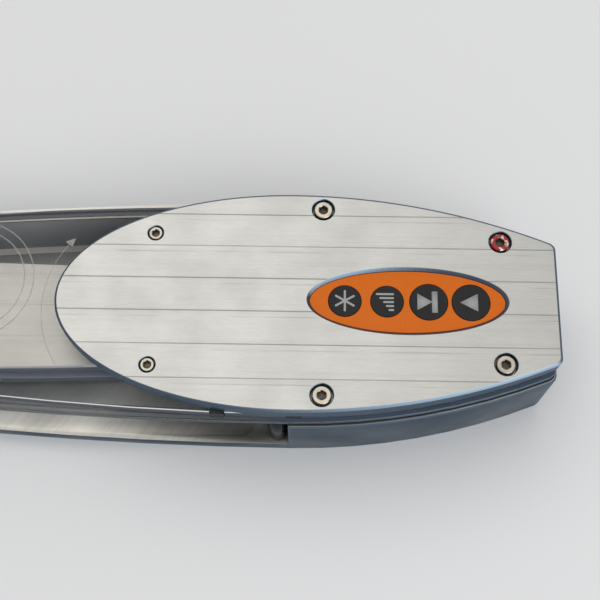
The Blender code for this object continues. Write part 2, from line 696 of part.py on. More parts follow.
def make_sockets(low):
    x1 = NOSE_X - WALL - GAP
    long, wide, tall = POWER_BODY
    z = low + tall / 2
    plan = rectangle(x1 - long, x1, POWER_SIDE - wide / 2, POWER_SIDE + wide / 2)
    power = solid("power_socket", [prism(plan, low, low + tall)], BLACK)
    nozzle = along_x(circle(0, 0, POWER_NOZZLE, 20), POWER_SIDE, z, x1 - 2, NOSE_X - GAP)
    boolean(power, "nozzle_tool", [nozzle], "UNION")
    bore = along_x(circle(0, 0, POWER_BORE, 20), POWER_SIDE, z, x1 - POWER_BORE_DEPTH, NOSE_X + 1)
    boolean(power, "power_bore_tool", [bore])
    contact = along_x(circle(0, 0, POWER_PIN, 12), POWER_SIDE, z, x1 - POWER_BORE_DEPTH - 1, NOSE_X - 1.5)
    boolean(power, "power_pin_tool", [contact], "UNION")
    long, wide, tall = GUIDE_BODY
    x0 = NOSE_X - GAP - long
    plan = rectangle(x0, NOSE_X - GAP, GUIDE_SIDE - wide / 2, GUIDE_SIDE + wide / 2)
    guide = solid("guide_socket", [prism(plan, low, low + tall)], BLACK)
    half, mouth_tall = GUIDE_MOUTH[0] / 2, GUIDE_MOUTH[1]
    x0 = NOSE_X - GUIDE_MOUTH_DEPTH
    base = low + GUIDE_MOUTH_LIFT
    mouth = prism(rectangle(x0, NOSE_X + 1, GUIDE_SIDE - half, GUIDE_SIDE + half), base, base + mouth_tall)
    boolean(guide, "mouth_tool", [mouth])
    half = GUIDE_LATCH
    latch = prism(rectangle(x0, NOSE_X + 1, GUIDE_SIDE - half, GUIDE_SIDE + half), base - GUIDE_LATCH, base + 1)
    boolean(guide, "latch_tool", [latch])


# ---------------------------------------------------------------- arm, pivot and head

def make_arm():
    low = ARM_BOTTOM
    groove_low = low + ARM_LOWER_FLANGE
    groove_high = ARM_TOP - ARM_UPPER_FLANGE
    levels = [
        (arm_outline(ARM_EDGE), low),
        (arm_outline(), low + ARM_EDGE),
        (arm_outline(), groove_low),
        (arm_outline(ARM_GROOVE), groove_low),
        (arm_outline(ARM_GROOVE), groove_high),
        (arm_outline(), groove_high),
        (arm_outline(), ARM_TOP - ARM_EDGE),
        (arm_outline(ARM_EDGE), ARM_TOP),
    ]
    arm = solid("arm_body", [levels], ALUMINIUM, (END_X, 0, low))
    boolean(arm, "arm_bore_tool", [pin(END_X, 0, SHAFT_RADIUS + GAP, low - 1, ARM_TOP + 1, MORE_SIDES)])
    drum_recess = pin(END_X, 0, DRUM_RADIUS + 2 * GAP, low - 1, RECESS_Z, MORE_SIDES)
    recess = boolean(arm, "drum_recess_tool", [drum_recess])
    roller_recess = pin(ROLLER_X, 0, ROLLER_RADIUS + 2 * GAP, low - 1, RECESS_Z, MORE_SIDES)
    boolean(recess, "roller_recess_tool", [roller_recess], "UNION")
    boolean(arm, "lid_recess_tool", [prism(lid_plan(GAP), LID_Z, ARM_TOP + 1)])
    narrow, wide = ROLLER_SHAFT + 1, MOTOR_RADIUS + GAP
    pocket = [(narrow, RECESS_Z - 1), (narrow, POCKET_Z), (wide, POCKET_Z), (wide, LID_Z + 0.5)]
    boolean(arm, "pocket_tool", [turned(ROLLER_X, 0, pocket, MORE_SIDES)])
    lid = solid("arm_lid", [prism(lid_plan(), LID_Z + GAP, ARM_TOP)], ALUMINIUM, (END_X, 0, LID_Z))
    holes = []
    for name, x, y in lid_screw_places():
        holes.append(pin(x, y, BOARD_SCREW["shank"] + GAP, ARM_TOP - LID_HOLE_DEPTH, ARM_TOP + 1, 12))
        make_screw(name, x, y, ARM_TOP + GAP + BOARD_SCREW["tall"], BOARD_SCREW)
    boolean(arm, "lid_screw_tool", holes)
    boolean(lid, "lid_hole_tool", holes)


def lid_plan(grow=0.0):
    half = MOTOR_RADIUS + LID_EDGE / 2 + grow
    return rounded(ROLLER_X - half, ROLLER_X + LID_REACH + grow, -half, half, half - 0.05, 8)


def make_drive():
    low = FLOOR + GAP
    ring("drive_drum", END_X, (DRUM_RADIUS, SHAFT_RADIUS + 2 * GAP), low, low + DRUM_HEIGHT, STEEL, MORE_SIDES)
    top = RECESS_Z - GAP
    low = top - ROLLER_HEIGHT
    shaft_top = POCKET_Z + GAP + ROLLER_SHAFT_REACH
    profile = [(ROLLER_RADIUS - 0.3, low), (ROLLER_RADIUS, low + 0.3), (ROLLER_RADIUS, top - 0.3)]
    profile += [(ROLLER_RADIUS - 0.3, top), (ROLLER_SHAFT, top), (ROLLER_SHAFT, shaft_top)]
    solid("friction_roller", [turned(ROLLER_X, 0, profile, MORE_SIDES)], RUBBER, (ROLLER_X, 0, low))
    low = POCKET_Z + GAP
    body = pin(ROLLER_X, 0, MOTOR_RADIUS, low, low + GEARBOX, MORE_SIDES)
    gearbox = solid("motor_gearbox", [body], BRASS, (ROLLER_X, 0, low))
    bore = pin(ROLLER_X, 0, ROLLER_SHAFT + GAP, low - 1, shaft_top + GAP, 16)
    boolean(gearbox, "gearbox_tool", [bore])
    top = MOTOR_Z + MOTOR
    profile = [(MOTOR_RADIUS, MOTOR_Z), (MOTOR_RADIUS, top - MOTOR_CHAMFER), (MOTOR_RADIUS - MOTOR_CHAMFER, top)]
    solid("drive_motor", [turned(ROLLER_X, 0, profile, MORE_SIDES)], STEEL, (ROLLER_X, 0, MOTOR_Z))


def make_pivot():
    bore = SHAFT_RADIUS + GAP
    outer = bore + BUSH
    ring("lower_bush", END_X, (outer, bore), GAP, FLOOR, BRONZE)
    flange = TOP_Z + GAP
    lip = outer + BUSH_FLANGE_LIP
    profile = [(outer, COVER_Z), (outer, flange), (lip, flange), (lip, flange + BUSH_FLANGE)]
    bush = solid("upper_bush", [turned(END_X, 0, profile, MORE_SIDES)], BRONZE)
    boolean(bush, "upper_bush_tool", [pin(END_X, 0, bore, COVER_Z - 1, TOP_Z + 5, MORE_SIDES)])
    shaft_top = TOP_Z + GAP + BUSH_FLANGE + GAP
    profile = [(SHAFT_RADIUS - 0.6, SHAFT_FOOT), (SHAFT_RADIUS, SHAFT_FOOT + 0.6), (SHAFT_RADIUS, shaft_top)]
    solid("pivot_shaft", [turned(END_X, 0, profile, MORE_SIDES)], STEEL, (END_X, 0, SHAFT_FOOT))
    plan = hull_outline(UPPER_SHEET_INSET, UPPER_SHEET_EXTRA)
    top_plan = hull_outline(UPPER_SHEET_INSET + COVER_CHAMFER, UPPER_SHEET_EXTRA)
    levels = [(plan, COVER_Z), (plan, TOP_Z - COVER_CHAMFER), (top_plan, TOP_Z)]
    cap = solid("pivot_cap", [levels], ALUMINIUM)
    boolean(cap, "cap_limit_tool", [pin(END_X, 0, CAP_REACH, COVER_Z - 1, TOP_Z + 1, 2 * SIDES)], "INTERSECT")
    tools = [pin(END_X, 0, outer + GAP, COVER_Z - 1, TOP_Z + 1, MORE_SIDES)]
    for name, x, y in cap_screw_places():
        tools.append(counterbore(x, y, SMALL_SCREW, COVER_Z))
        make_screw(name, x, y, TOP_Z - HEAD_BELOW_TOP, SMALL_SCREW)
    boolean(cap, "cap_tool", tools)
    make_head(shaft_top + GAP)
    ring("tripod_insert", INSERT_X, (INSERT_RADIUS, INSERT_BORE), GAP, FLOOR - TRAY_DEPTH - GAP, BRASS)


def make_head(low):
    high = low + PLATFORM
    chamfer = PLATFORM_CHAMFER
    edge = PLATFORM_RADIUS - chamfer
    profile = [(edge, low), (PLATFORM_RADIUS, low + chamfer), (PLATFORM_RADIUS, high - chamfer), (edge, high)]
    platform = solid("head_platform", [turned(END_X, 0, profile, MORE_SIDES)], ANODISED, (END_X, 0, low))
    boolean(platform, "platform_tool", [pin(END_X, 0, STUD_RADIUS + GAP, high - STUD_SEAT, high + 1, MORE_SIDES)])
    pad = high + GAP
    ring("platform_pad", END_X, (edge - 1, STUD_RADIUS + 2 * GAP), pad, pad + PLATFORM_PAD, RUBBER, MORE_SIDES)
    top = pad + PLATFORM_PAD + STUD_HEIGHT
    profile = [(STUD_RADIUS, high - STUD_SEAT + GAP), (STUD_RADIUS, top - STUD_CHAMFER)]
    profile += [(STUD_RADIUS - STUD_CHAMFER, top)]
    solid("platform_stud", [turned(END_X, 0, profile, MORE_SIDES)], STEEL, (END_X, 0, high))


def main():
    for item in list(bpy.data.objects):
        bpy.data.objects.remove(item, do_unlink=True)
    make_hull()
    make_gasket()
    make_deck()
    make_post()
    make_cover()
    make_cover_screws()
    make_keypad()
    make_electronics()
    make_arm()
    make_drive()
    make_pivot()


main()
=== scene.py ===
# %% [markdown]
# # A star-tracking mount with a four-key hand controller
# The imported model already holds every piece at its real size. This lesson gives the pieces their
# finish: milled aluminium, clear acrylic with engraved lines, socket screws and a printed keypad.
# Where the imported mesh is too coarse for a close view, a finer piece is made and stands for it.

# %% Load the frame
import json
import math

import bmesh
import bpy
from mathutils import Matrix, Vector


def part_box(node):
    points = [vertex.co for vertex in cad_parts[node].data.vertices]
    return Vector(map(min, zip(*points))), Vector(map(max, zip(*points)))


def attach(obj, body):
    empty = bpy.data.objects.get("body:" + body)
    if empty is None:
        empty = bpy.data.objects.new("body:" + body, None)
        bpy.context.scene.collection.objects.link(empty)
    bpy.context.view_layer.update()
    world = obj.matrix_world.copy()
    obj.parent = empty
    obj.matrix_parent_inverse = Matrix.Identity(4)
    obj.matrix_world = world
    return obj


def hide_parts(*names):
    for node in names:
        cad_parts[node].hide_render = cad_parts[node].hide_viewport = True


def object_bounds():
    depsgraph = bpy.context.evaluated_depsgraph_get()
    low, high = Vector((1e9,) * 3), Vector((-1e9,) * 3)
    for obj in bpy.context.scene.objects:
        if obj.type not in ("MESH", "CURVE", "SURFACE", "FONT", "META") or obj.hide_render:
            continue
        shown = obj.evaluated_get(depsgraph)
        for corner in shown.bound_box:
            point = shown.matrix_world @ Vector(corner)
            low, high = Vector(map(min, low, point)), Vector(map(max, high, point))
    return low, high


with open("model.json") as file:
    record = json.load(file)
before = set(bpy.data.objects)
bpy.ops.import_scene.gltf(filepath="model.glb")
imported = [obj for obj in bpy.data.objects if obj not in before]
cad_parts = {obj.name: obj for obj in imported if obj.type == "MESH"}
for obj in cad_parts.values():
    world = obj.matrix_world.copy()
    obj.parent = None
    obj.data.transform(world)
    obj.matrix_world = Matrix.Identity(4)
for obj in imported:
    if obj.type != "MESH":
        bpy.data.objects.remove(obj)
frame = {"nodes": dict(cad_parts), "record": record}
cad_box = [list(map(float, corner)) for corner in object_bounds()]
MM = 0.001
bodies = frame["record"]["behaviour"]["bodies"]
body_of = {node: body for body, nodes in bodies.items() for node in nodes}
slot_of = {part["node"]: part["material_slot"] for part in frame["record"]["subparts"]}
print("box of the packed model:", cad_box)

# %% [markdown]
# ## Places that the pieces share
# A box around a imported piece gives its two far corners. The places below come from these boxes, so
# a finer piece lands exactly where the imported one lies. What no box can tell, such as the radius
# of the cover's long arcs or the thickness of the hull's wall, is written here once.


# %% Read places from the frame
def middle(node):
    low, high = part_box(node)
    return (low + high) / 2


cover_low, cover_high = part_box("cover_plate")
COVER_END, COVER_HALF, COVER_TOP = cover_high
NOSE_RUN = 92 * MM
NOSE_RADIUS = 241 * MM
COVER_WIDEST = COVER_END - NOSE_RUN
LEFT_RUN = COVER_WIDEST - cover_low.x
DECK_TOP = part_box("deck_upper_sheet")[1].z
SHAFT = middle("pivot_shaft")
POST = middle("window_post")
KEYPAD = middle("keypad_overlay")
KEYS = ("settings", "menu", "forward", "back")
print("cover is", [round(v / MM, 1) for v in cover_high - cover_low], "mm")

# %% [markdown]
# The hull is a round end with a long arc on each side that reaches its full width where the cover
# is widest. Three lengths fix such an arc, so its radius is worked out from them. The arm has a
# groove along its side, and what lies below the groove is a shelf that is painted darker as shade.

# %% Work out the hull's flank and the arm's shelf
hull_low, hull_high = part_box("hull_shell")
HULL_HALF = hull_high.y
WALL = 4.3 * MM
END_RADIUS = SHAFT.x - hull_low.x
RUN = COVER_WIDEST - SHAFT.x
FLANK_RADIUS = (RUN**2 + HULL_HALF**2 - END_RADIUS**2) / (2 * (HULL_HALF - END_RADIUS))
arm_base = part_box("arm_body")[0].z
ARM_SHELF = arm_base + 0.62 * (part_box("arm_lid")[0].z - arm_base)
print("flank radius", round(FLANK_RADIUS / MM, 1), "mm, shelf at", round(ARM_SHELF / MM, 1), "mm")

# %% [markdown]
# ## Camera
# A long lens looks down steeply at the wide end, so the cover fills the view and the pivot end
# runs out of it on the left. The camera's own axes are worked out from three angles: how steeply
# it looks down, how far it is turned, and how much it leans.

# %% Camera
LOOK_DOWN, TURN, LEAN = (math.radians(v) for v in (69.874, -1.4713, -0.5812))
FOCAL = 64.75
OFFSET = Vector((-86.1, -128.3, 349.4)) * MM

shallow = math.cos(LOOK_DOWN)
ahead = Vector((math.sin(TURN) * shallow, math.cos(TURN) * shallow, -math.sin(LOOK_DOWN)))
level = Vector((math.cos(TURN), -math.sin(TURN), 0))
above = level.cross(ahead)
right = level * math.cos(LEAN) + above * math.sin(LEAN)
upward = above * math.cos(LEAN) - level * math.sin(LEAN)

lens = bpy.data.cameras.new("camera")
lens.lens = FOCAL
lens.sensor_width = 36
lens.clip_start = 0.01
camera = bpy.data.objects.new("camera", lens)
turned = Matrix((right, upward, -ahead)).transposed().to_4x4()
camera.matrix_world = Matrix.Translation(Vector((COVER_END, 0, COVER_TOP)) + OFFSET) @ turned
bpy.context.scene.collection.objects.link(camera)
bpy.context.scene.camera = camera
print("camera stands", round(OFFSET.length / MM), "mm from the cover's end")

# %% [markdown]
# ## Light
# A wide soft lamp hangs behind and above, the way daylight falls from a window, a weaker one fills
# in from the front, and a pale world lights the rest. Metal shows what it mirrors, so all three
# are kept near the same plain level.

# %% Light
scene = bpy.context.scene
scene.view_settings.view_transform = "Standard"


def soft_lamp(name, place, size, watts, colour):
    """A square lamp that looks at the middle of the object."""
    data = bpy.data.lights.new(name, "AREA")
    data.shape = "SQUARE"
    data.size = size
    data.energy = watts
    data.color = colour
    lamp = bpy.data.objects.new(name, data)
    lamp.location = place
    lamp.rotation_euler = (-Vector(place)).to_track_quat("-Z", "Y").to_euler()
    scene.collection.objects.link(lamp)
    print(name, "gives", watts, "W")


soft_lamp("window_light", (-0.3, 0.6, 1.7), 1.6, 10.5, (1.0, 0.98, 0.95))
soft_lamp("fill_light", (0.8, -0.9, 1.3), 1.0, 8, (0.96, 0.98, 1.0))

world = bpy.data.worlds.new("studio")
world.use_nodes = True
backdrop = world.node_tree.nodes["Background"].inputs
backdrop["Color"].default_value = (0.97, 0.98, 1.0, 1)
backdrop["Strength"].default_value = 0.5
scene.world = world

# %% [markdown]
# ## Helpers for shader nodes
# A finish is a Principled shader whose colour, roughness and bump come from a few nodes. The first
# helper adds one node, sets its values and links what is already a socket. The others are the
# nodes that come back in every finish: a little arithmetic, a smooth step and a mix of two
# colours.


# %% Node helpers
def add(tree, kind, values=None, **settings):
    """One shader node. values maps an input's name or number to a value or to another socket."""
    made = tree.nodes.new(kind)
    for key, value in settings.items():
        setattr(made, key, value)
    for key, value in (values or {}).items():
        if isinstance(value, bpy.types.NodeSocket):
            tree.links.new(value, made.inputs[key])
        else:
            made.inputs[key].default_value = value
    return made


def math_node(tree, operation, first, second=0.0, third=0.0):
    values = {0: first, 1: second, 2: third}
    return add(tree, "ShaderNodeMath", values, operation=operation).outputs[0]


def product(tree, first, second):
    return math_node(tree, "MULTIPLY", first, second)


def ramp(tree, factor, low, high, start=0.0, stop=1.0):
    """A smooth step from start to stop as the factor goes from low to high."""
    values = {"Value": factor, "From Min": low, "From Max": high, "To Min": start, "To Max": stop}
    return add(tree, "ShaderNodeMapRange", values, interpolation_type="SMOOTHSTEP").outputs[0]


def colour_mix(tree, factor, first, second):
    made = add(tree, "ShaderNodeMix", data_type="RGBA")
    for index, value in ((0, factor), (6, first), (7, second)):
        if isinstance(value, bpy.types.NodeSocket):
            tree.links.new(value, made.inputs[index])
        else:
            made.inputs[index].default_value = value if index == 0 else (*value, 1.0)
    return made.outputs[2]


def bump(tree, height, depth):
    return add(tree, "ShaderNodeBump", {"Height": height, "Distance": depth}).outputs[0]


# %% [markdown]
# Every pattern here lives in the object's own coordinates, so it stays on the metal when the arm
# swings. A noise becomes a brushed grain when its coordinates are stretched first: a large factor
# packs it close in that direction, and a small one draws it out.


# %% Places and noises
def object_place(tree):
    """A point in the object's own space: the whole vector, then its X, Y and Z."""
    place = add(tree, "ShaderNodeTexCoord").outputs["Object"]
    return place, *add(tree, "ShaderNodeSeparateXYZ", {0: place}).outputs[:3]


def stretched(tree, place, along, across, rise):
    values = {0: place, 1: (along, across, rise)}
    return add(tree, "ShaderNodeVectorMath", values, operation="MULTIPLY").outputs[0]


def noise(tree, place, scale, detail):
    values = {"Vector": place, "Scale": scale, "Detail": detail}
    return add(tree, "ShaderNodeTexNoise", values).outputs[0]


# %% [markdown]
# An effect that several finishes share is a node group. It is built once, with named inputs, and
# each finish places it with its own values.


# %% Group helpers
def new_group(name, inputs, outputs):
    """A shader node group with named float inputs and outputs."""
    tree = bpy.data.node_groups.new(name, "ShaderNodeTree")
    for label, value in inputs.items():
        socket = tree.interface.new_socket(label, in_out="INPUT", socket_type="NodeSocketFloat")
        socket.default_value = value
    for label in outputs:
        tree.interface.new_socket(label, in_out="OUTPUT", socket_type="NodeSocketFloat")
    print("group", name, "puts out", ", ".join(outputs))
    return tree, add(tree, "NodeGroupInput").outputs, add(tree, "NodeGroupOutput").inputs


def place_group(tree, group, **values):
    made = tree.nodes.new("ShaderNodeGroup")
    made.node_tree = group
    for label, value in values.items():
        made.inputs[label.replace("_", " ")].default_value = value
    return made.outputs


# %% [markdown]
# ## Milling marks
# A wide cutter leaves a fine line where two of its passes meet, and a fine grain along the way it
# travelled. The group finds the distance to the nearest pass line by folding the Y coordinate, and
# draws the grain with a noise that is stretched along X. A second, broken line runs before each.

# %% Milling group
PASS_GAP = 12.05 * MM
LINE_WIDTH = 0.22 * MM
SECOND_LINE = 2.2 * MM


def from_pass_line(tree, across, gap):
    """The distance to the nearest of many lines that lie one gap apart."""
    folded = math_node(tree, "PINGPONG", math_node(tree, "DIVIDE", across, gap), 0.5)
    return product(tree, folded, gap)


def make_milling():
    inputs = {"Pass": PASS_GAP, "Shift": 0.0, "Line Width": LINE_WIDTH}
    tree, given, taken = new_group("milling", inputs, ("Line", "Grain", "Streak"))
    place, _, across, _ = object_place(tree)
    sway = math_node(tree, "MULTIPLY_ADD", noise(tree, place, 9.0, 1.0), 0.2 * MM, across)
    shifted = math_node(tree, "SUBTRACT", sway, given["Shift"])
    away = from_pass_line(tree, shifted, given["Pass"])
    near = math_node(tree, "DIVIDE", away, given["Line Width"])
    line = ramp(tree, near, 0.3, 1.4, 1.0, 0.0)
    second = math_node(tree, "ADD", shifted, SECOND_LINE)
    away = from_pass_line(tree, second, given["Pass"])
    broken = ramp(tree, noise(tree, place, 45.0, 2.0), 0.4, 0.65)
    faint = product(tree, ramp(tree, away, 0.1 * MM, 0.4 * MM, 0.4, 0.0), broken)
    tree.links.new(math_node(tree, "MAXIMUM", line, faint), taken["Line"])
    fine = stretched(tree, place, 260.0, 5200.0, 300.0)
    tree.links.new(noise(tree, fine, 1.0, 4.0), taken["Grain"])
    long = stretched(tree, place, 5.0, 620.0, 60.0)
    tree.links.new(noise(tree, long, 1.0, 2.0), taken["Streak"])
    return tree


milling = make_milling()

# %% [markdown]
# ## Which way a face looks
# The finishes paint light and shade by facing. The flat faces of the metal are painted bright, its
# walls are painted dark where they would mirror a darker room, and the small chamfers between them
# get a painted highlight where they would catch the sky. The group turns the face's upward slant
# into three masks, and its heading into three more: the front on the right-hand side, which gets the
# painted light, the rear and what faces down. It reads the true normal, because the smoothed one
# wanders near a rounded edge.


# %% Facing group
def make_facing():
    outputs = ("Wall", "Chamfer", "Flat", "Lit", "Rear", "Under")
    tree, _, taken = new_group("facing", {}, outputs)
    normal = add(tree, "ShaderNodeNewGeometry").outputs["True Normal"]
    along, across, rise = add(tree, "ShaderNodeSeparateXYZ", {0: normal}).outputs[:3]
    slant = math_node(tree, "ABSOLUTE", rise)
    wall = ramp(tree, slant, 0.08, 0.3, 1.0, 0.0)
    flat = ramp(tree, slant, 0.8, 0.97)
    chamfer = math_node(tree, "SUBTRACT", 1.0, math_node(tree, "ADD", wall, flat))
    front = ramp(tree, product(tree, across, -1.0), 0.2, 0.55)
    lit = product(tree, front, ramp(tree, along, -0.12, 0.22))
    rear = ramp(tree, across, 0.1, 0.4)
    under = ramp(tree, product(tree, rise, -1.0), 0.2, 0.5)
    for label, mask in zip(outputs, (wall, chamfer, flat, lit, rear, under)):
        tree.links.new(mask, taken[label])
    return tree


facing = make_facing()

# %% [markdown]
# ## Handling marks
# Nothing that has been held is evenly smooth. A soft cloudy noise changes the roughness a little,
# and a finer one gives the height for a faint bump.


# %% Handling group
def make_handling():
    inputs = {"Scale": 60.0, "Low": 0.3, "High": 0.45}
    tree, given, taken = new_group("handling", inputs, ("Roughness", "Height"))
    place = object_place(tree)[0]
    amount = ramp(tree, noise(tree, place, given["Scale"], 5.0), 0.3, 0.7)
    span = math_node(tree, "SUBTRACT", given["High"], given["Low"])
    worn = math_node(tree, "MULTIPLY_ADD", amount, span, given["Low"])
    tree.links.new(worn, taken["Roughness"])
    size = product(tree, given["Scale"], 24.0)
    tree.links.new(noise(tree, place, size, 3.0), taken["Height"])
    return tree


handling = make_handling()

# %% [markdown]
# ## Starting a finish
# A new material comes with one Principled shader. What is the same all over a surface, such as the
# refraction or how metallic it is, is set on that shader at once. What changes over the surface is
# linked to it afterwards, by socket name.


# %% Start a finish
def finish(name, **values):
    """A material with one Principled shader, some plain values and its tree."""
    made = bpy.data.materials.new(name)
    made.use_nodes = True
    shader = made.node_tree.nodes["Principled BSDF"]
    for label, value in values.items():
        shader.inputs[label.replace("_", " ")].default_value = value
    print("finish", name)
    return made, made.node_tree, shader.inputs


def wire(tree, shader, **sources):
    """Links sources to the shader's inputs of the same names."""
    for label, source in sources.items():
        tree.links.new(source, shader[label.replace("_", " ")])


# %% [markdown]
# ## Metals
# Cover and arm are one alloy with one recipe. What differs is the colour of each facing, how
# strong the pass lines are, and where the first of them lies. Silver above is the metal. The other
# facing colours are painted light and shade: a blue-grey painted shade and reflection on its walls,
# and a painted blue sky sheen on the chamfers, darker where they face away.

# %% Milled aluminium
GRAIN_TONE = (0.25, 0.25, 0.24)
STREAK_TONE = (0.3, 0.3, 0.29)
LINE_TONE = (0.13, 0.13, 0.13)
# The arm's colour below its shelf: painted shade.
SHELF_PAINTED_SHADE = (0.20, 0.22, 0.29)


def milled(name, flat, wall, chamfers, lines, shift=0.0, shelf=0.0, metal=0.9):
    made, tree, shader = finish(name, Metallic=metal)
    marks = place_group(tree, milling, Shift=shift)
    face = place_group(tree, facing)
    worn = place_group(tree, handling, Low=0.42, High=0.5)
    tone = colour_mix(tree, ramp(tree, marks["Grain"], 0.25, 0.75, 0.0, 0.16), flat, GRAIN_TONE)
    tone = colour_mix(tree, ramp(tree, marks["Streak"], 0.45, 0.75, 0.0, 0.11), tone, STREAK_TONE)
    line = product(tree, marks["Line"], lines)
    line = product(tree, line, ramp(tree, marks["Streak"], 0.2, 0.7, 0.55, 1.0))
    tone = colour_mix(tree, line, tone, LINE_TONE)
    # Painted shade: below the shelf the arm turns darker blue-grey.
    shelf_shade = ramp(tree, object_place(tree)[3], shelf - 1 * MM, shelf, 1.0, 0.0)
    tone = colour_mix(tree, shelf_shade, tone, SHELF_PAINTED_SHADE)
    # Painted light by facing: shade and reflection on the walls, sheen or shade on the chamfers.
    tone = colour_mix(tree, face["Wall"], tone, wall)
    tone = colour_mix(tree, face["Chamfer"], tone, colour_mix(tree, face["Lit"], *chamfers))
    depth = math_node(tree, "MULTIPLY_ADD", line, -1.4, marks["Grain"])
    normal = bump(tree, product(tree, depth, face["Flat"]), 0.03 * MM)
    wire(tree, shader, Base_Color=tone, Roughness=worn["Roughness"], Normal=normal)
    return made


# Silver is the metal's colour. The wall and chamfer tones are painted shade, reflection and sky
# sheen.
SILVER, SKY_SHEEN_BLUE, SHADED_CHAMFER_BLUE = (0.575, 0.57, 0.54), (0.42, 0.58, 0.74), (0.10, 0.14, 0.20)
SHADED_WALL_BLUE = (0.06, 0.10, 0.15)
ARM_SILVER, ARM_WALL_SHADE, ARM_EDGE_SHEEN = (0.66, 0.64, 0.59), (0.14, 0.17, 0.21), (0.5, 0.52, 0.55)
# Pale tone for the strips that paint highlights inside the rear wall.
LIT_STRIP_TONE = (0.80, 0.76, 0.68)
cover_metal = milled("cover_aluminium", SILVER, SHADED_WALL_BLUE, (SHADED_CHAMFER_BLUE, SKY_SHEEN_BLUE), 0.75, -4.4 * MM)
arm_metal = milled(
    "arm_aluminium", ARM_SILVER, ARM_WALL_SHADE, (ARM_EDGE_SHEEN, ARM_EDGE_SHEEN), 0.2, 4 * MM, ARM_SHELF
)
lit_strip_metal = milled("lit_strip_aluminium", LIT_STRIP_TONE, LIT_STRIP_TONE, (LIT_STRIP_TONE, LIT_STRIP_TONE), 0.1, metal=0.25)

# %% [markdown]
# The hull's tray is cut by a small cutter that runs slantwise, so its marks lie across the long
# way. A mapping turns the coordinates before the noise is stretched. Under the deck the tray is
# painted darker as shade, the tray gets a painted dark reflection towards the post, the outer walls
# are painted dark blue-grey as shade and reflection, the chamfers get painted highlights, and inside
# the rear wall the painted blue is left out and the wall is painted lighter, as if lit. Each of these
# is a mask that mixes one more tone over the last.

# %% Hull metal
# Tray tone and marks, then a painted dark reflection near the post and painted shade under the deck.
TRAY_LIT, TRAY_MARK, TRAY_POST_REFLECTION = (0.62, 0.60, 0.55), (0.36, 0.35, 0.31), (0.09, 0.09, 0.085)
UNDER_DECK_SHADE = (0.10, 0.11, 0.12)
# Wall tones: painted shade and reflection outside, painted lighter inside. Chamfer tones are painted
# highlights.
HULL_WALL_SHADE, INNER_WALL_LIT = (0.034, 0.066, 0.105), (0.37, 0.37, 0.375)
HULL_CHAMFER_SHEEN, HULL_FOOT_SHEEN, REAR_EDGE_HIGHLIGHT = (0.13, 0.18, 0.25), (0.26, 0.37, 0.48), (0.72, 0.67, 0.60)
DECK_FRONT = -34 * MM


def hull_marks(tree, place):
    slant = add(tree, "ShaderNodeMapping", {"Vector": place, "Rotation": (0, 0, math.radians(-52))})
    return noise(tree, stretched(tree, slant.outputs[0], 40.0, 900.0, 60.0), 1.0, 3.0)


def tray_tone(tree, mark, flat, along, across):
    """The tray's colour, with a painted post reflection and painted shade under the deck."""
    tone = colour_mix(tree, ramp(tree, mark, 0.4, 0.7, 0.0, 0.22), TRAY_LIT, TRAY_MARK)
    # Painted dark reflection of the post on the tray.
    post_reflection = product(tree, ramp(tree, along, POST.x - 40 * MM, POST.x - 12 * MM), 0.62)
    post_reflection = product(tree, post_reflection, ramp(tree, across, DECK_FRONT - 3.5 * MM, DECK_FRONT, 1.0, 0.0))
    tone = colour_mix(tree, product(tree, post_reflection, flat), tone, TRAY_POST_REFLECTION)
    # Painted shade on the tray under the deck.
    under = product(tree, ramp(tree, across, DECK_FRONT - 4.5 * MM, DECK_FRONT), 0.45)
    return colour_mix(tree, product(tree, under, flat), tone, UNDER_DECK_SHADE)


def make_hull_metal():
    made, tree, shader = finish("hull_aluminium")
    face = place_group(tree, facing)
    worn = place_group(tree, handling, Scale=45.0, Low=0.32, High=0.46)
    place, along, across, _ = object_place(tree)
    mark = hull_marks(tree, place)
    tone = tray_tone(tree, mark, face["Flat"], along, across)
    not_rear = math_node(tree, "SUBTRACT", 1.0, face["Rear"])
    inside = product(tree, ramp(tree, across, 0.0, 10 * MM), not_rear)
    # Walls: painted dark blue shade outside, a painted lighter tone inside the rear wall.
    tone = colour_mix(tree, face["Wall"], tone, colour_mix(tree, inside, HULL_WALL_SHADE, INNER_WALL_LIT))
    dull = product(tree, inside, face["Wall"])
    metal = math_node(tree, "MULTIPLY_ADD", dull, -0.75, 0.9)
    # Chamfers: painted highlights, brightest at the foot and the rear.
    edge = colour_mix(tree, face["Under"], HULL_CHAMFER_SHEEN, HULL_FOOT_SHEEN)
    edge = colour_mix(tree, face["Rear"], edge, REAR_EDGE_HIGHLIGHT)
    tone = colour_mix(tree, face["Chamfer"], tone, edge)
    normal = bump(tree, product(tree, mark, face["Flat"]), 0.04 * MM)
    wire(tree, shader, Base_Color=tone, Metallic=metal, Roughness=worn["Roughness"], Normal=normal)
    return made


hull_metal = make_hull_metal()

# %% [markdown]
# ## Clear acrylic
# The deck is clear from above, with a faint cool film painted where it mirrors the room, a painted
# reflection, and its sawn edge is grey and nearly opaque. The alpha follows the facing, so one
# finish serves both. Light passes through the sheets unhindered, as it does through real acrylic, so
# they throw no shadow on the arm. The light that the lower sheet's rim gathers inside it is painted
# as grey bands that follow the long arcs, darker towards the nose, and the lit walls, the rear walls
# and the chamfers get painted highlights.


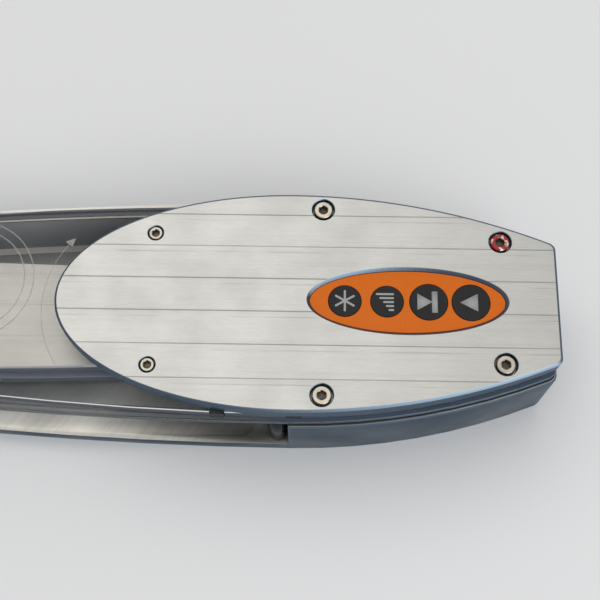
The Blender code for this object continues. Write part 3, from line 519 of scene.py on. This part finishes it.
# %% Distance from the deck's rim
def make_rim_band():
    """How far a point lies inside the deck's long arcs, on both sides of the middle."""
    tree, given, taken = new_group("rim_band", {"Inset": 0.0}, ("Distance",))
    _, along, across, _ = object_place(tree)
    out = math_node(tree, "ADD", math_node(tree, "ABSOLUTE", across), FLANK_RADIUS - HULL_HALF)
    run = math_node(tree, "SUBTRACT", along, COVER_WIDEST)
    spot = add(tree, "ShaderNodeCombineXYZ", {0: run, 1: out}).outputs[0]
    reach = add(tree, "ShaderNodeVectorMath", {0: spot}, operation="LENGTH").outputs["Value"]
    edge = math_node(tree, "SUBTRACT", FLANK_RADIUS, given["Inset"])
    tree.links.new(math_node(tree, "SUBTRACT", edge, reach), taken["Distance"])
    return tree


rim_band = make_rim_band()

# %% [markdown]
# The alpha is worked out first and the colour after it. Faces seen from behind, through the sheet,
# are left wholly clear, so that only the near side of each sheet shows. Light that only asks
# whether it is blocked, a shadow ray, gets an alpha of zero.

# %% Acrylic
REFRACTION = 1.49
BAND_EDGE = (3.7 * MM, 4.4 * MM)
STRIPE = 2.1 * MM
# Painted light: the rim bands, the darker nose, the mirrored room and the lit edges.
RIM_LIGHT_STRIPES = ((0.035, 0.04, 0.05), (0.12, 0.125, 0.135))
NOSE_SHADE, ROOM_REFLECTION_TONE, LIT_WALL_SHEEN = (0.075, 0.11, 0.16), (0.30, 0.33, 0.36), (0.10, 0.145, 0.21)
REAR_GLOW, CHAMFER_GLOW = (0.75, 0.72, 0.66), (0.95, 0.95, 0.92)


def acrylic_alpha(tree, face, film, edge, edge_alpha, ledge):
    glance = add(tree, "ShaderNodeFresnel", {"IOR": REFRACTION}).outputs[0]
    clear = math_node(tree, "MULTIPLY_ADD", glance, 0.5, film)
    rear_wall = product(tree, face["Rear"], face["Wall"])
    solid = math_node(tree, "MULTIPLY_ADD", rear_wall, 0.25 - edge_alpha, edge_alpha)
    span = math_node(tree, "SUBTRACT", solid, clear)
    seen = math_node(tree, "MULTIPLY_ADD", edge, span, clear)
    seen = math_node(tree, "MAXIMUM", seen, ledge)
    turned_away = add(tree, "ShaderNodeNewGeometry").outputs["Backfacing"]
    seen = product(tree, seen, math_node(tree, "SUBTRACT", 1.0, turned_away))
    shadow = add(tree, "ShaderNodeLightPath").outputs["Is Shadow Ray"]
    return product(tree, seen, math_node(tree, "SUBTRACT", 1.0, shadow))


def make_acrylic(name, film, edge_tone, edge_alpha, inset=0.0, band=0.0):
    made, tree, shader = finish(name, IOR=REFRACTION, Specular_IOR_Level=0.35)
    face = place_group(tree, facing)
    edge = math_node(tree, "SUBTRACT", 1.0, face["Flat"])
    away = place_group(tree, rim_band, Inset=inset)["Distance"]
    along = object_place(tree)[1]
    nose = ramp(tree, along, COVER_WIDEST - 25 * MM, COVER_WIDEST + 15 * MM)
    # Where the painted rim-light bands show, near the long arcs and at the nose.
    ledge = ramp(tree, away, *BAND_EDGE, band, 0.0)
    ledge = math_node(tree, "MAXIMUM", ledge, product(tree, nose, band))
    alpha = acrylic_alpha(tree, face, film, edge, edge_alpha, ledge)
    stripe = math_node(tree, "PINGPONG", product(tree, away, 1 / STRIPE), 0.5)
    # Painted rim light in bands, with painted shade towards the nose.
    rim_light = colour_mix(tree, ramp(tree, stripe, 0.1, 0.3), *RIM_LIGHT_STRIPES)
    rim_light = colour_mix(tree, nose, rim_light, NOSE_SHADE)
    # Painted reflection of the room on the flats.
    tone = colour_mix(tree, ramp(tree, ledge, 0.05, 0.2), ROOM_REFLECTION_TONE, rim_light)
    # Painted highlights on lit walls, rear walls and chamfers.
    tone = colour_mix(tree, face["Wall"], tone, colour_mix(tree, face["Lit"], edge_tone, LIT_WALL_SHEEN))
    tone = colour_mix(tree, face["Rear"], tone, REAR_GLOW)
    tone = colour_mix(tree, face["Chamfer"], tone, CHAMFER_GLOW)
    gloss = ramp(tree, edge, 0.0, 1.0, 0.05, 0.45)
    wire(tree, shader, Base_Color=tone, Alpha=alpha, Roughness=gloss)
    return made


clear_top = make_acrylic("deck_acrylic", 0.02, (0.09, 0.11, 0.13), 0.85)
clear_lip = make_acrylic("lip_acrylic", 0.03, (0.035, 0.045, 0.055), 0.92, 1.2 * MM, 0.8)

# %% [markdown]
# An engraved line scatters light, so it looks frosted. It hides only a third of what lies under
# it, and a very fine noise keeps it from looking like paint.

# %% Frosted line
frosted, tree, shader = finish("frosted_line", Alpha=0.36)
worn = place_group(tree, handling, Scale=900.0, Low=0.5, High=0.9)["Roughness"]
tone = colour_mix(tree, ramp(tree, worn, 0.5, 0.9), (0.66, 0.65, 0.62), (0.54, 0.53, 0.50))
wire(tree, shader, Base_Color=tone, Roughness=worn)

# %% [markdown]
# ## Plastics, rubber, film and turned metals
# These smaller finishes share one recipe: a base colour that drifts slightly, the handling marks
# for roughness and a fine bump.


# %% Simple finishes
def plain(name, colour, low, high, scale=80.0, depth=0.01 * MM, drift=0.18, **values):
    made, tree, shader = finish(name, **values)
    worn = place_group(tree, handling, Scale=scale, Low=low, High=high)
    darker = tuple(0.7 * channel for channel in colour)
    tone = colour_mix(tree, ramp(tree, worn["Height"], 0.3, 0.7, 0.0, drift), colour, darker)
    normal = bump(tree, worn["Height"], depth)
    wire(tree, shader, Base_Color=tone, Roughness=worn["Roughness"], Normal=normal)
    return made


steel = plain("screw_steel", (0.43, 0.39, 0.32), 0.2, 0.34, 300.0, Metallic=1.0)
# Painted shade for the inside of a screw's socket.
socket_shade_look = plain(
    "socket_shade", (0.11, 0.095, 0.07), 0.3, 0.5, 900.0, drift=0.9, Metallic=0.6
)
rubber = plain("black_rubber", (0.016, 0.017, 0.019), 0.42, 0.6)
sleeve_black = plain("glossy_sleeve", (0.012, 0.014, 0.018), 0.1, 0.16, IOR=1.1)
soft = {"Specular_IOR_Level": 0.22}
orange = plain("orange_film", (0.69, 0.143, 0.004), 0.45, 0.6, 40.0, 0.006 * MM, 0.12, **soft)
key_black = plain("key_black", (0.018, 0.018, 0.019), 0.45, 0.6, 120.0, 0.008 * MM, **soft)
print_grey = plain("icon_grey", (0.37, 0.37, 0.37), 0.5, 0.65, 120.0, **soft)
plastic = plain("black_plastic", (0.03, 0.03, 0.032), 0.35, 0.5)
board = plain("board_green", (0.015, 0.10, 0.045), 0.3, 0.5, 200.0)
bronze = plain("bearing_bronze", (0.55, 0.33, 0.14), 0.25, 0.4, 200.0, Metallic=1.0)
brass = plain("turned_brass", (0.68, 0.50, 0.20), 0.22, 0.36, 200.0, Metallic=1.0)
cable_grey = plain("ribbon_grey", (0.45, 0.45, 0.46), 0.4, 0.55, 500.0)

# %% [markdown]
# ## Sealing paint
# The paint sits on the steel in a blob with a ragged border, so the two colours, the roughness and
# the metal share one noise as their mask.

# %% Red seal
red_paint, tree, shader = finish("red_seal")
paint = ramp(tree, noise(tree, object_place(tree)[0], 420.0, 3.0), 0.40, 0.47)
tone = colour_mix(tree, paint, (0.62, 0.56, 0.47), (0.30, 0.008, 0.012))
bare = math_node(tree, "SUBTRACT", 1.0, paint)
gloss = ramp(tree, paint, 0.0, 1.0, 0.3, 0.2)
normal = bump(tree, paint, 0.05 * MM)
wire(tree, shader, Base_Color=tone, Metallic=bare, Roughness=gloss, Normal=normal)

# %% [markdown]
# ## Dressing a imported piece
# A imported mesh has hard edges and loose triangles. Its copy is merged, its flat triangles are
# joined into larger faces, and a narrow bevel rounds the edges so that they catch the light. The
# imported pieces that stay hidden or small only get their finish.

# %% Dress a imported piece
FINISHES = {
    "milled_aluminium": cover_metal,
    "blue_grey_anodised": hull_metal,
    "clear_acrylic": clear_top,
    "screw_steel": steel,
    "red_screw": red_paint,
    "black_rubber": rubber,
    "orange_film": orange,
    "black_plastic": plastic,
    "green_board": board,
    "bearing_bronze": bronze,
    "brass": brass,
    "grey_ribbon": cable_grey,
}


def settle(piece, nodes, body=None):
    """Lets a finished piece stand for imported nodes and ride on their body, or on the body named."""
    scene.collection.objects.link(piece)
    if nodes:
        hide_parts(*nodes)
    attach(piece, body or body_of[nodes[0]])
    print(piece.name, "has", len(piece.data.polygons), "faces")


def dress(node, look=None, width=0.15 * MM):
    mesh = frame["nodes"][node].data.copy()
    work = bmesh.new()
    work.from_mesh(mesh)
    bmesh.ops.remove_doubles(work, verts=work.verts, dist=2e-6)
    level_enough = math.radians(0.6)
    bmesh.ops.dissolve_limit(work, angle_limit=level_enough, verts=work.verts, edges=work.edges)
    work.to_mesh(mesh)
    work.free()
    mesh.materials.clear()
    mesh.materials.append(look or FINISHES[slot_of[node]])
    mesh.shade_smooth()
    piece = bpy.data.objects.new(node + "_form", mesh)
    edge = piece.modifiers.new("edge", "BEVEL")
    edge.width = width
    edge.segments = 2
    edge.limit_method = "ANGLE"
    edge.angle_limit = math.radians(35)
    edge.harden_normals = True
    settle(piece, [node])


for node in ("hull_shell", "pivot_cap", "head_platform", "platform_pad", "upper_bush"):
    dress(node)
dress("drive_drum")
dress("arm_body", arm_metal)
dress("arm_lid", arm_metal)
dress("deck_upper_sheet", clear_top, 0.6 * MM)
dress("deck_lower_sheet", clear_lip, 0.2 * MM)
for node in ("edge_pad_left", "edge_pad_right", "power_socket", "guide_socket"):
    dress(node)
dress("control_board")
dress("sounder")
for node, part in frame["nodes"].items():
    part.data.materials.clear()
    part.data.materials.append(FINISHES[slot_of[node]])

# %% [markdown]
# ## Loops, skins and caps
# A machined piece is mostly rings of one outline at several heights. A ring is a closed loop of
# edges. Two rings with equally many points are bridged, and the first and last are filled.
# Bridging two rings on one level would twist, so the level between them is filled instead.


# %% Outlines
def circle(cx, cy, radius, sides=48):
    turns = [2 * math.pi * i / sides for i in range(sides)]
    return [(cx + radius * math.cos(t), cy + radius * math.sin(t)) for t in turns]


def oval(cx, cy, half_x, half_y, sides=96):
    return [(cx + half_x * x, cy + half_y * y) for x, y in circle(0, 0, 1, sides)]


def arc(cx, cy, radius, start, stop, steps):
    turns = [start + (stop - start) * i / steps for i in range(steps + 1)]
    return [(cx + radius * math.cos(t), cy + radius * math.sin(t)) for t in turns]


def hexagon(cx, cy, flats, sides=48):
    """A hexagon with as many points as a circle has, so that the two can be bridged."""
    points = []
    for x, y in circle(0, 0, 1, sides):
        from_flat = (math.atan2(y, x) + math.pi / 6) % (math.pi / 3) - math.pi / 6
        reach = flats / 2 / math.cos(from_flat)
        points.append((cx + reach * x, cy + reach * y))
    return points


# %% [markdown]
# The outlines above are plain lists of points. The next helpers turn them into edges and faces of
# a bmesh, the mesh that Blender lets a script edit.


# %% Rings and faces
def loop(work, places):
    verts = [work.verts.new(place) for place in places]
    return [work.edges.new(pair) for pair in zip(verts, verts[1:] + verts[:1])]


def ring(work, points, height):
    return loop(work, [(x, y, height) for x, y in points])


def ring_stack(work, at, profile, sides=48):
    """Round rings about one axis, from (radius, height) pairs."""
    return [ring(work, circle(at.x, at.y, reach, sides), height) for reach, height in profile]


def cap(work, *rings):
    """Fills one ring with a single face, or the level between a ring and the holes inside it."""
    if len(rings) == 1:
        bmesh.ops.contextual_create(work, geom=rings[0])
    else:
        edges = [edge for one in rings for edge in one]
        bmesh.ops.triangle_fill(work, edges=edges, use_beauty=True)


def skin(work, *rings):
    """Walls between rings. Two rings on one level get a flat ring between them."""
    for first, second in zip(rings, rings[1:]):
        drop = first[0].verts[0].co.z - second[0].verts[0].co.z
        if abs(drop) < 0.001 * MM:
            cap(work, first, second)
        else:
            bmesh.ops.bridge_loops(work, edges=first + second)


def solid(work, *rings):
    """Walls between the rings and a face on the first and the last of them."""
    skin(work, *rings)
    cap(work, rings[0])
    cap(work, rings[-1])


# %% [markdown]
# A piece is closed the same way every time: its faces are turned outward, the edges of its level
# faces are kept sharp so that they stay flat, and it gets its materials.


# %% Closing a piece
def close(work, name, look, nodes=(), body=None, smooth=30, extra=()):
    """Turns a bmesh into a finished piece. Edges below the smooth angle are rounded."""
    bmesh.ops.recalc_face_normals(work, faces=work.faces)
    for edge in work.edges:
        lying = [abs(face.normal.z) > 0.9999 for face in edge.link_faces]
        alike = len(lying) == 2 and lying[0] == lying[1]
        edge.smooth = alike and edge.calc_face_angle(0) < math.radians(smooth)
    mesh = bpy.data.meshes.new(name)
    work.to_mesh(mesh)
    work.free()
    for item in [look, *extra]:
        mesh.materials.append(item)
    for face in mesh.polygons:
        face.use_smooth = True
    settle(bpy.data.objects.new(name, mesh), nodes, body)


def turned_piece(name, centre, profile, look, nodes, sides=64, smooth=30):
    """A solid of revolution from (radius, height) pairs, lowest first."""
    work = bmesh.new()
    solid(work, *ring_stack(work, centre, profile, sides))
    close(work, name, look, nodes, smooth=smooth)


# %% [markdown]
# ## Cover plate
# The cover is the piece that the eye meets first: a half ellipse on the left, two long arcs on the
# right, a straight end with small round corners, and a chamfer all the way round. Its outline is
# worked out once for any inset, so the chamfer keeps one width everywhere.

# %% Cover outline
CORNER = 3.0 * MM
CHAMFER = 0.8 * MM


def cover_outline(inset):
    """Upper half from the straight end to the left tip, then its mirror image."""
    centre_y = COVER_HALF - NOSE_RADIUS
    reach = NOSE_RADIUS - inset
    corner_x = COVER_END - inset - CORNER
    rise = math.sqrt((reach - CORNER) ** 2 - (corner_x - COVER_WIDEST) ** 2)
    turn = math.atan2(rise, corner_x - COVER_WIDEST)
    upper = arc(corner_x, centre_y + rise, CORNER, 0, turn, 6)[:-1]
    upper += arc(COVER_WIDEST, centre_y, reach, turn, math.pi / 2, 26)
    for i in range(1, 49):
        t = math.pi / 2 * (1 + i / 48)
        x = COVER_WIDEST + (LEFT_RUN - inset) * math.cos(t)
        upper.append((x, (COVER_HALF - inset) * math.sin(t)))
    upper[-1] = (upper[-1][0], 0.0)
    return upper + [(x, -y) for x, y in reversed(upper[:-1])]


print("the outline has", len(cover_outline(0)), "points")

# %% [markdown]
# Seven holes go through the cover: the oval one for the keypad, with a ledge that carries the
# film, and a counterbore for each of six screws. Every hole is a stack of rings, and gives back
# its first and last ring, so that the cover's top and bottom can be filled around all of them at
# once.

# %% Cover plate
OPENING = (34.65 * MM, 12.15 * MM)
FILM_LEDGE = 1.3 * MM
EASE = 0.25 * MM
BIG_SINK, BIG_HEAD, BIG_HOLE = 3.95 * MM, 3.9 * MM, 2.3 * MM
SMALL_SINK, SMALL_HEAD, SMALL_HOLE = 2.75 * MM, 2.9 * MM, 1.8 * MM
sides_and_ends = [(side, end) for side in ("front", "rear") for end in ("left", "right")]
big_screws = [f"cover_screw_{side}_{end}" for side, end in sides_and_ends]
small_screws = [f"cover_screw_{side}_small" for side in ("front", "rear")]


def opening_ring(work, grow, height):
    half_x, half_y = OPENING
    return ring(work, oval(KEYPAD.x, 0, half_x + grow, half_y + grow), height)


def keypad_opening(work):
    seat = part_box("keypad_overlay")[0].z - 0.3 * MM
    steps = [(0.35, 0.0), (0.15, -0.12), (-0.7, -1.15)]
    walls = [opening_ring(work, grow * MM, COVER_TOP + drop * MM) for grow, drop in steps]
    walls.append(opening_ring(work, -0.7 * MM, seat))
    walls.append(opening_ring(work, -FILM_LEDGE, seat))
    walls.append(opening_ring(work, -FILM_LEDGE, cover_low.z))
    skin(work, *walls)
    return walls[0], walls[-1]


def screw_hole(work, node, sink, head, hole):
    """A counterbore with an eased mouth, and the narrow hole under it."""
    floor = COVER_TOP - head - 0.4 * MM
    profile = [(sink + EASE, COVER_TOP), (sink, COVER_TOP - EASE), (sink, floor)]
    profile += [(hole, floor), (hole, cover_low.z)]
    walls = ring_stack(work, middle(node), profile)
    skin(work, *walls)
    return walls[0], walls[-1]


def make_cover():
    work = bmesh.new()
    base = ring(work, cover_outline(0), cover_low.z)
    outer = [base, ring(work, cover_outline(0), COVER_TOP - CHAMFER)]
    outer.append(ring(work, cover_outline(0.7 * CHAMFER), COVER_TOP - 0.25 * CHAMFER))
    outer.append(ring(work, cover_outline(1.1 * CHAMFER), COVER_TOP))
    skin(work, *outer)
    pairs = [(outer[-1], base), keypad_opening(work)]
    for node in big_screws:
        pairs.append(screw_hole(work, node, BIG_SINK, BIG_HEAD, BIG_HOLE))
    for node in small_screws:
        pairs.append(screw_hole(work, node, SMALL_SINK, SMALL_HEAD, SMALL_HOLE))
    for level in zip(*pairs):
        cap(work, *level)
    close(work, "cover_plate_fine", cover_metal, ["cover_plate"], smooth=25)


make_cover()

# %% [markdown]
# ## Socket-head screws
# A screw is turned, so it is a stack of round rings, and its socket is a hexagon with as many
# points as the rings, pulled down into the head. A small cone at the top of the head is the
# lead-in. The socket is painted dark as the shade in its recess, and one screw at the rear wears a
# dab of red paint as a seal.

# %% Screws
HEAD_SHOWN = 0.95
SOCKET_DEPTH = 0.55


def make_screw(node, look, flats, tall, sides=48):
    low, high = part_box(node)
    at = middle(node)
    head = HEAD_SHOWN * (high.x - low.x) / 2
    shank = 0.57 * head
    under = high.z - tall
    work = bmesh.new()
    profile = [(0.8 * shank, low.z), (shank, low.z + 0.5 * MM), (shank, under)]
    profile += [(0.96 * head, under), (head, under + 0.1 * MM), (head, high.z - 0.45 * MM)]
    profile += [(0.95 * head, high.z - 0.15 * MM), (0.88 * head, high.z)]
    rings = ring_stack(work, at, profile, sides)
    rings.append(ring(work, circle(at.x, at.y, 0.60 * flats, sides), high.z))
    rings.append(ring(work, hexagon(at.x, at.y, flats, sides), high.z - 0.2 * MM))
    rings.append(ring(work, hexagon(at.x, at.y, flats, sides), high.z - SOCKET_DEPTH * tall))
    solid(work, *rings)
    for face in work.faces:
        centre = face.calc_center_median()
        inside = (centre.xy - at.xy).length < 0.7 * flats and centre.z > under
        # Faces inside the socket get the painted shade.
        face.material_index = int(inside and centre.z < high.z - 0.15 * MM)
    close(work, node + "_fine", look, [node], smooth=28, extra=[socket_shade_look])


for node in big_screws:
    make_screw(node, red_paint if node.endswith("rear_right") else steel, 3.0 * MM, BIG_HEAD)
for node in small_screws + ["deck_screw", "cap_screw_front", "cap_screw_rear"]:
    make_screw(node, steel, 2.5 * MM, SMALL_HEAD)
for node in ("lid_screw_front", "lid_screw_rear"):
    make_screw(node, steel, 1.5 * MM, 1.8 * MM)

# %% [markdown]
# ## Keypad
# The film is printed orange and the keys stand a hair above it. Each key is a turned button with a
# wide foot under the film, so that it can sink but never fall out. The film has one round hole per
# key, a little wider than the key.

# %% Film and keys
FILM_INSET = 0.55 * MM
KEY_GAP = 0.16 * MM
KEY_FOOT = 0.5 * MM
FOOT_TALL = 0.9 * MM


def key_radius(key):
    low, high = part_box("key_" + key)
    return (high.x - low.x) / 2 - KEY_FOOT


def make_overlay():
    low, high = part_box("keypad_overlay")
    half_x, half_y = (high.x - low.x) / 2 - FILM_INSET, (high.y - low.y) / 2 - FILM_INSET
    work = bmesh.new()
    outer = [
        ring(work, oval(KEYPAD.x, 0, half_x - cut, half_y - cut), height)
        for cut, height in ((0, low.z), (0, high.z - 0.1 * MM), (0.1 * MM, high.z))
    ]
    skin(work, *outer)
    pairs = [(outer[-1], outer[0])]
    for key in KEYS:
        hole = key_radius(key) + KEY_GAP
        walls = ring_stack(work, middle("key_" + key), ((hole, high.z), (hole, low.z)), 72)
        skin(work, *walls)
        pairs.append(walls)
    for level in zip(*pairs):
        cap(work, *level)
    close(work, "keypad_film", orange, ["keypad_overlay"])


make_overlay()
for key in KEYS:
    low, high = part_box("key_" + key)
    radius = key_radius(key)
    foot = radius + KEY_FOOT
    profile = [(foot, low.z), (foot, low.z + FOOT_TALL), (radius, low.z + FOOT_TALL)]
    profile += [(radius, high.z - 0.25 * MM), (radius - 0.1 * MM, high.z - 0.08 * MM)]
    profile += [(radius - 0.3 * MM, high.z)]
    turned_piece(f"key_{key}_fine", middle("key_" + key), profile, key_black, ["key_" + key], 72)

# %% [markdown]
# Each key carries a pale grey sign: a six-armed star, five bars, a triangle against a bar, and a
# triangle that points back. A sign is printed on its key and rides on it. It is a few thin slabs,
# each a hair higher than the last, so that no two of them lie on one level where they cross.

# %% Signs on the keys
SIGN = 0.05 * MM
SIGN_STEP = 0.003 * MM


def slab(work, points, low, high):
    solid(work, ring(work, points, low), ring(work, points, high))


def bar(x0, y0, x1, y1, width):
    """A straight bar from one end to the other, with half-round ends."""
    way = math.atan2(y1 - y0, x1 - x0)
    quarter = math.pi / 2
    far_end = arc(x1, y1, width / 2, way - quarter, way + quarter, 8)
    return far_end + arc(x0, y0, width / 2, way + quarter, way + 3 * quarter, 8)


def star_sign(r):
    """Six arms: three bars through the middle."""
    reach = 0.62 * r
    for turn in (90, 30, -30):
        x, y = reach * math.cos(math.radians(turn)), reach * math.sin(math.radians(turn))
        yield bar(-x, -y, x, y, 0.13 * r)


def bars_sign(r):
    """Five bars that end on one line at the right and grow shorter towards the front."""
    right_end = 0.36 * r
    for i, length in enumerate((0.98, 0.77, 0.54, 0.38, 0.22)):
        y = (0.46 - 0.255 * i) * r
        yield bar(right_end - length * r, y, right_end, y, 0.125 * r)


def forward_sign(r):
    yield [(-0.60 * r, -0.46 * r), (0.20 * r, 0.0), (-0.60 * r, 0.46 * r)]
    yield [(0.16 * r, -0.60 * r), (0.46 * r, -0.60 * r), (0.46 * r, 0.58 * r), (0.16 * r, 0.58 * r)]


def back_sign(r):
    yield [(-0.58 * r, -0.01 * r), (0.36 * r, -0.50 * r), (0.36 * r, 0.48 * r)]


for key, sign in zip(KEYS, (star_sign, bars_sign, forward_sign, back_sign)):
    at = middle("key_" + key)
    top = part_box("key_" + key)[1].z
    work = bmesh.new()
    for step, points in enumerate(sign(key_radius(key))):
        lift = SIGN + step * SIGN_STEP
        slab(work, [(at.x + x, at.y + y) for x, y in points], top - 0.05 * MM, top + lift)
    close(work, f"sign_{key}", print_grey, body="key_" + key)

# %% [markdown]
# ## Engraving on the deck
# Two large circles and one curved line are cut into the clear sheet and look frosted. Each is a
# thin strip that lies on the sheet. A short edge swept round a centre makes a curved line, and a
# small slab makes the tip of the arrow at the end of one line.

# %% Engraved lines
RISE = 0.02 * MM
HUB, HUB_RADII = (COVER_END - 206 * MM, 8 * MM), (19.0 * MM, 22.3 * MM)
BOW, BOW_RADIUS = (COVER_END - 142.1 * MM, -1.1 * MM), 37.9 * MM
TIP = ((15.2, 22.9), (19.0, 24.4), (17.9, 21.0))


def swept_line(work, centre, radius, width, start, stop, steps=48):
    """A curved strip: a short edge that is spun about the centre, from one angle to another."""
    ends = []
    for reach in (radius - width / 2, radius + width / 2):
        x = centre[0] + reach * math.cos(math.radians(start))
        y = centre[1] + reach * math.sin(math.radians(start))
        ends.append(work.verts.new((x, y, DECK_TOP + RISE)))
    turn = {"cent": (*centre, 0), "axis": (0, 0, 1), "angle": math.radians(stop - start)}
    bmesh.ops.spin(work, geom=ends + [work.edges.new(ends)], steps=steps, **turn)


def engrave():
    work = bmesh.new()
    for radius in HUB_RADII:
        swept_line(work, HUB, radius, 0.5 * MM, 0, 360, 96)
    swept_line(work, BOW, BOW_RADIUS, 0.35 * MM, 143, 215)
    bmesh.ops.remove_doubles(work, verts=work.verts, dist=1e-6)
    slab(work, [(x * MM, y * MM) for x, y in TIP], DECK_TOP, DECK_TOP + RISE)
    close(work, "engraved_lines", frosted, body="housing")


engrave()

# %% [markdown]
# ## Post and stud
# The post at the end of the window is a dark glossy sleeve with eased ends. Its lower half is
# written once, and the upper half is that half turned over.

# %% Window post
low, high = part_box("window_post")
radius = (high.x - low.x) / 2
profile = [(radius - 0.5 * MM, low.z), (radius - 0.15 * MM, low.z + 0.12 * MM)]
profile += [(radius, low.z + 0.5 * MM)]
profile += [(reach, low.z + high.z - height) for reach, height in reversed(profile)]
turned_piece("window_post_fine", POST, profile, sleeve_black, ["window_post"])

# %% [markdown]
# The stud on the head is what a camera screws on. It carries a thread, which a row of small ridges
# shows well enough at this size.

# %% Camera stud
PITCH = 1.5875 * MM
PLAIN_FOOT = 3.4 * MM
low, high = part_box("platform_stud")
radius = (high.x - low.x) / 2
root = radius - 0.9 * MM
height = low.z + PLAIN_FOOT
profile = [(root, low.z), (root, height)]
while height + PITCH < high.z - 0.7 * MM:
    profile += [(radius, height + 0.45 * PITCH), (radius, height + 0.55 * PITCH)]
    height += PITCH
    profile += [(root, height)]
profile += [(radius - 0.8 * MM, high.z)]
stud = middle("platform_stud")
turned_piece("platform_stud_fine", stud, profile, steel, ["platform_stud"], smooth=20)

# %% [markdown]
# ## Painted bright lines inside the rear wall
# A fillet runs along the foot of the rear wall, a clear bead closes the joint where the sheet lies
# on the gasket, and the rim of the lower sheet glints. All three are strips in one pale, barely
# metallic tone, which paints these bright lines as highlights. All three follow the hull's long arc,
# so each is a small closed section that is carried from station to station along it.


# %% Fillet, bead and glint
def flank(x, inset):
    """How far from the middle the hull's flank lies at a place left of the widest point."""
    across = math.sqrt((FLANK_RADIUS - inset) ** 2 - (x - COVER_WIDEST) ** 2)
    return HULL_HALF - FLANK_RADIUS + across


def carried(name, start, end, inset, level, corners, stations=40):
    """A bar along the rear flank. Its corners are in millimetres from an inset and a level."""
    section = [(inset + inward * MM, level + rise * MM) for inward, rise in corners]
    work = bmesh.new()
    rings = []
    for i in range(stations + 1):
        x = start + (end - start) * i / stations
        rings.append(loop(work, [(x, flank(x, inward), height) for inward, height in section]))
    solid(work, *rings)
    close(work, name, lit_strip_metal, body="housing")


FOOT_SECTION = ((-0.2, -0.1), (2.2, -0.1), (2.1, 0.1), (0.9, 0.5), (-0.2, 1.4))
BEAD_SECTION = ((-0.5, 0.02), (0.2, 0.02), (0.2, 0.2), (-0.5, 0.2))
GLINT_SECTION = ((1.3, -0.02), (2.1, -0.02), (2.1, 0.03), (1.3, 0.03))
floor_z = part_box("drive_drum")[0].z - 0.3 * MM
joint_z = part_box("hull_gasket")[1].z
rim_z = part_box("deck_lower_sheet")[1].z
left = SHAFT.x + 40 * MM
stop = COVER_WIDEST - 30 * MM
# These three strips are painted highlights.
carried("wall_fillet", left + 20 * MM, stop, WALL, floor_z, FOOT_SECTION)
carried("gasket_bead", left, COVER_WIDEST, WALL, joint_z, BEAD_SECTION)
carried("lip_glint", left, COVER_WIDEST, 0, rim_z, GLINT_SECTION)

# %% [markdown]
# ## Floor
# The object rests on a pale plain floor, which keeps its shadow. The floor is only a stage: it
# isn't part of the object.

# %% Floor
work = bmesh.new()
bmesh.ops.create_grid(work, x_segments=1, y_segments=1, size=3.0)
bmesh.ops.translate(work, vec=(0, 0, cad_box[0][2] - 0.05 * MM), verts=work.verts)
floor_mesh = bpy.data.meshes.new("floor")
work.to_mesh(floor_mesh)
work.free()
pale, tree, shader = finish("pale_floor", Roughness=0.8)
cloud = add(tree, "ShaderNodeTexNoise", {"Scale": 6.0, "Detail": 4.0}).outputs[0]
tone = colour_mix(tree, ramp(tree, cloud, 0.3, 0.7), (0.80, 0.80, 0.80), (0.84, 0.84, 0.84))
wire(tree, shader, Base_Color=tone)
floor_mesh.materials.append(pale)
floor = bpy.data.objects.new("floor", floor_mesh)
scene.collection.objects.link(floor)

# %% [markdown]
# ## Last update
# The finer pieces must fill the same space as the imported ones. The view layer is updated once
# more at the end.

# %% Update the view layer and finish
bpy.context.view_layer.update()
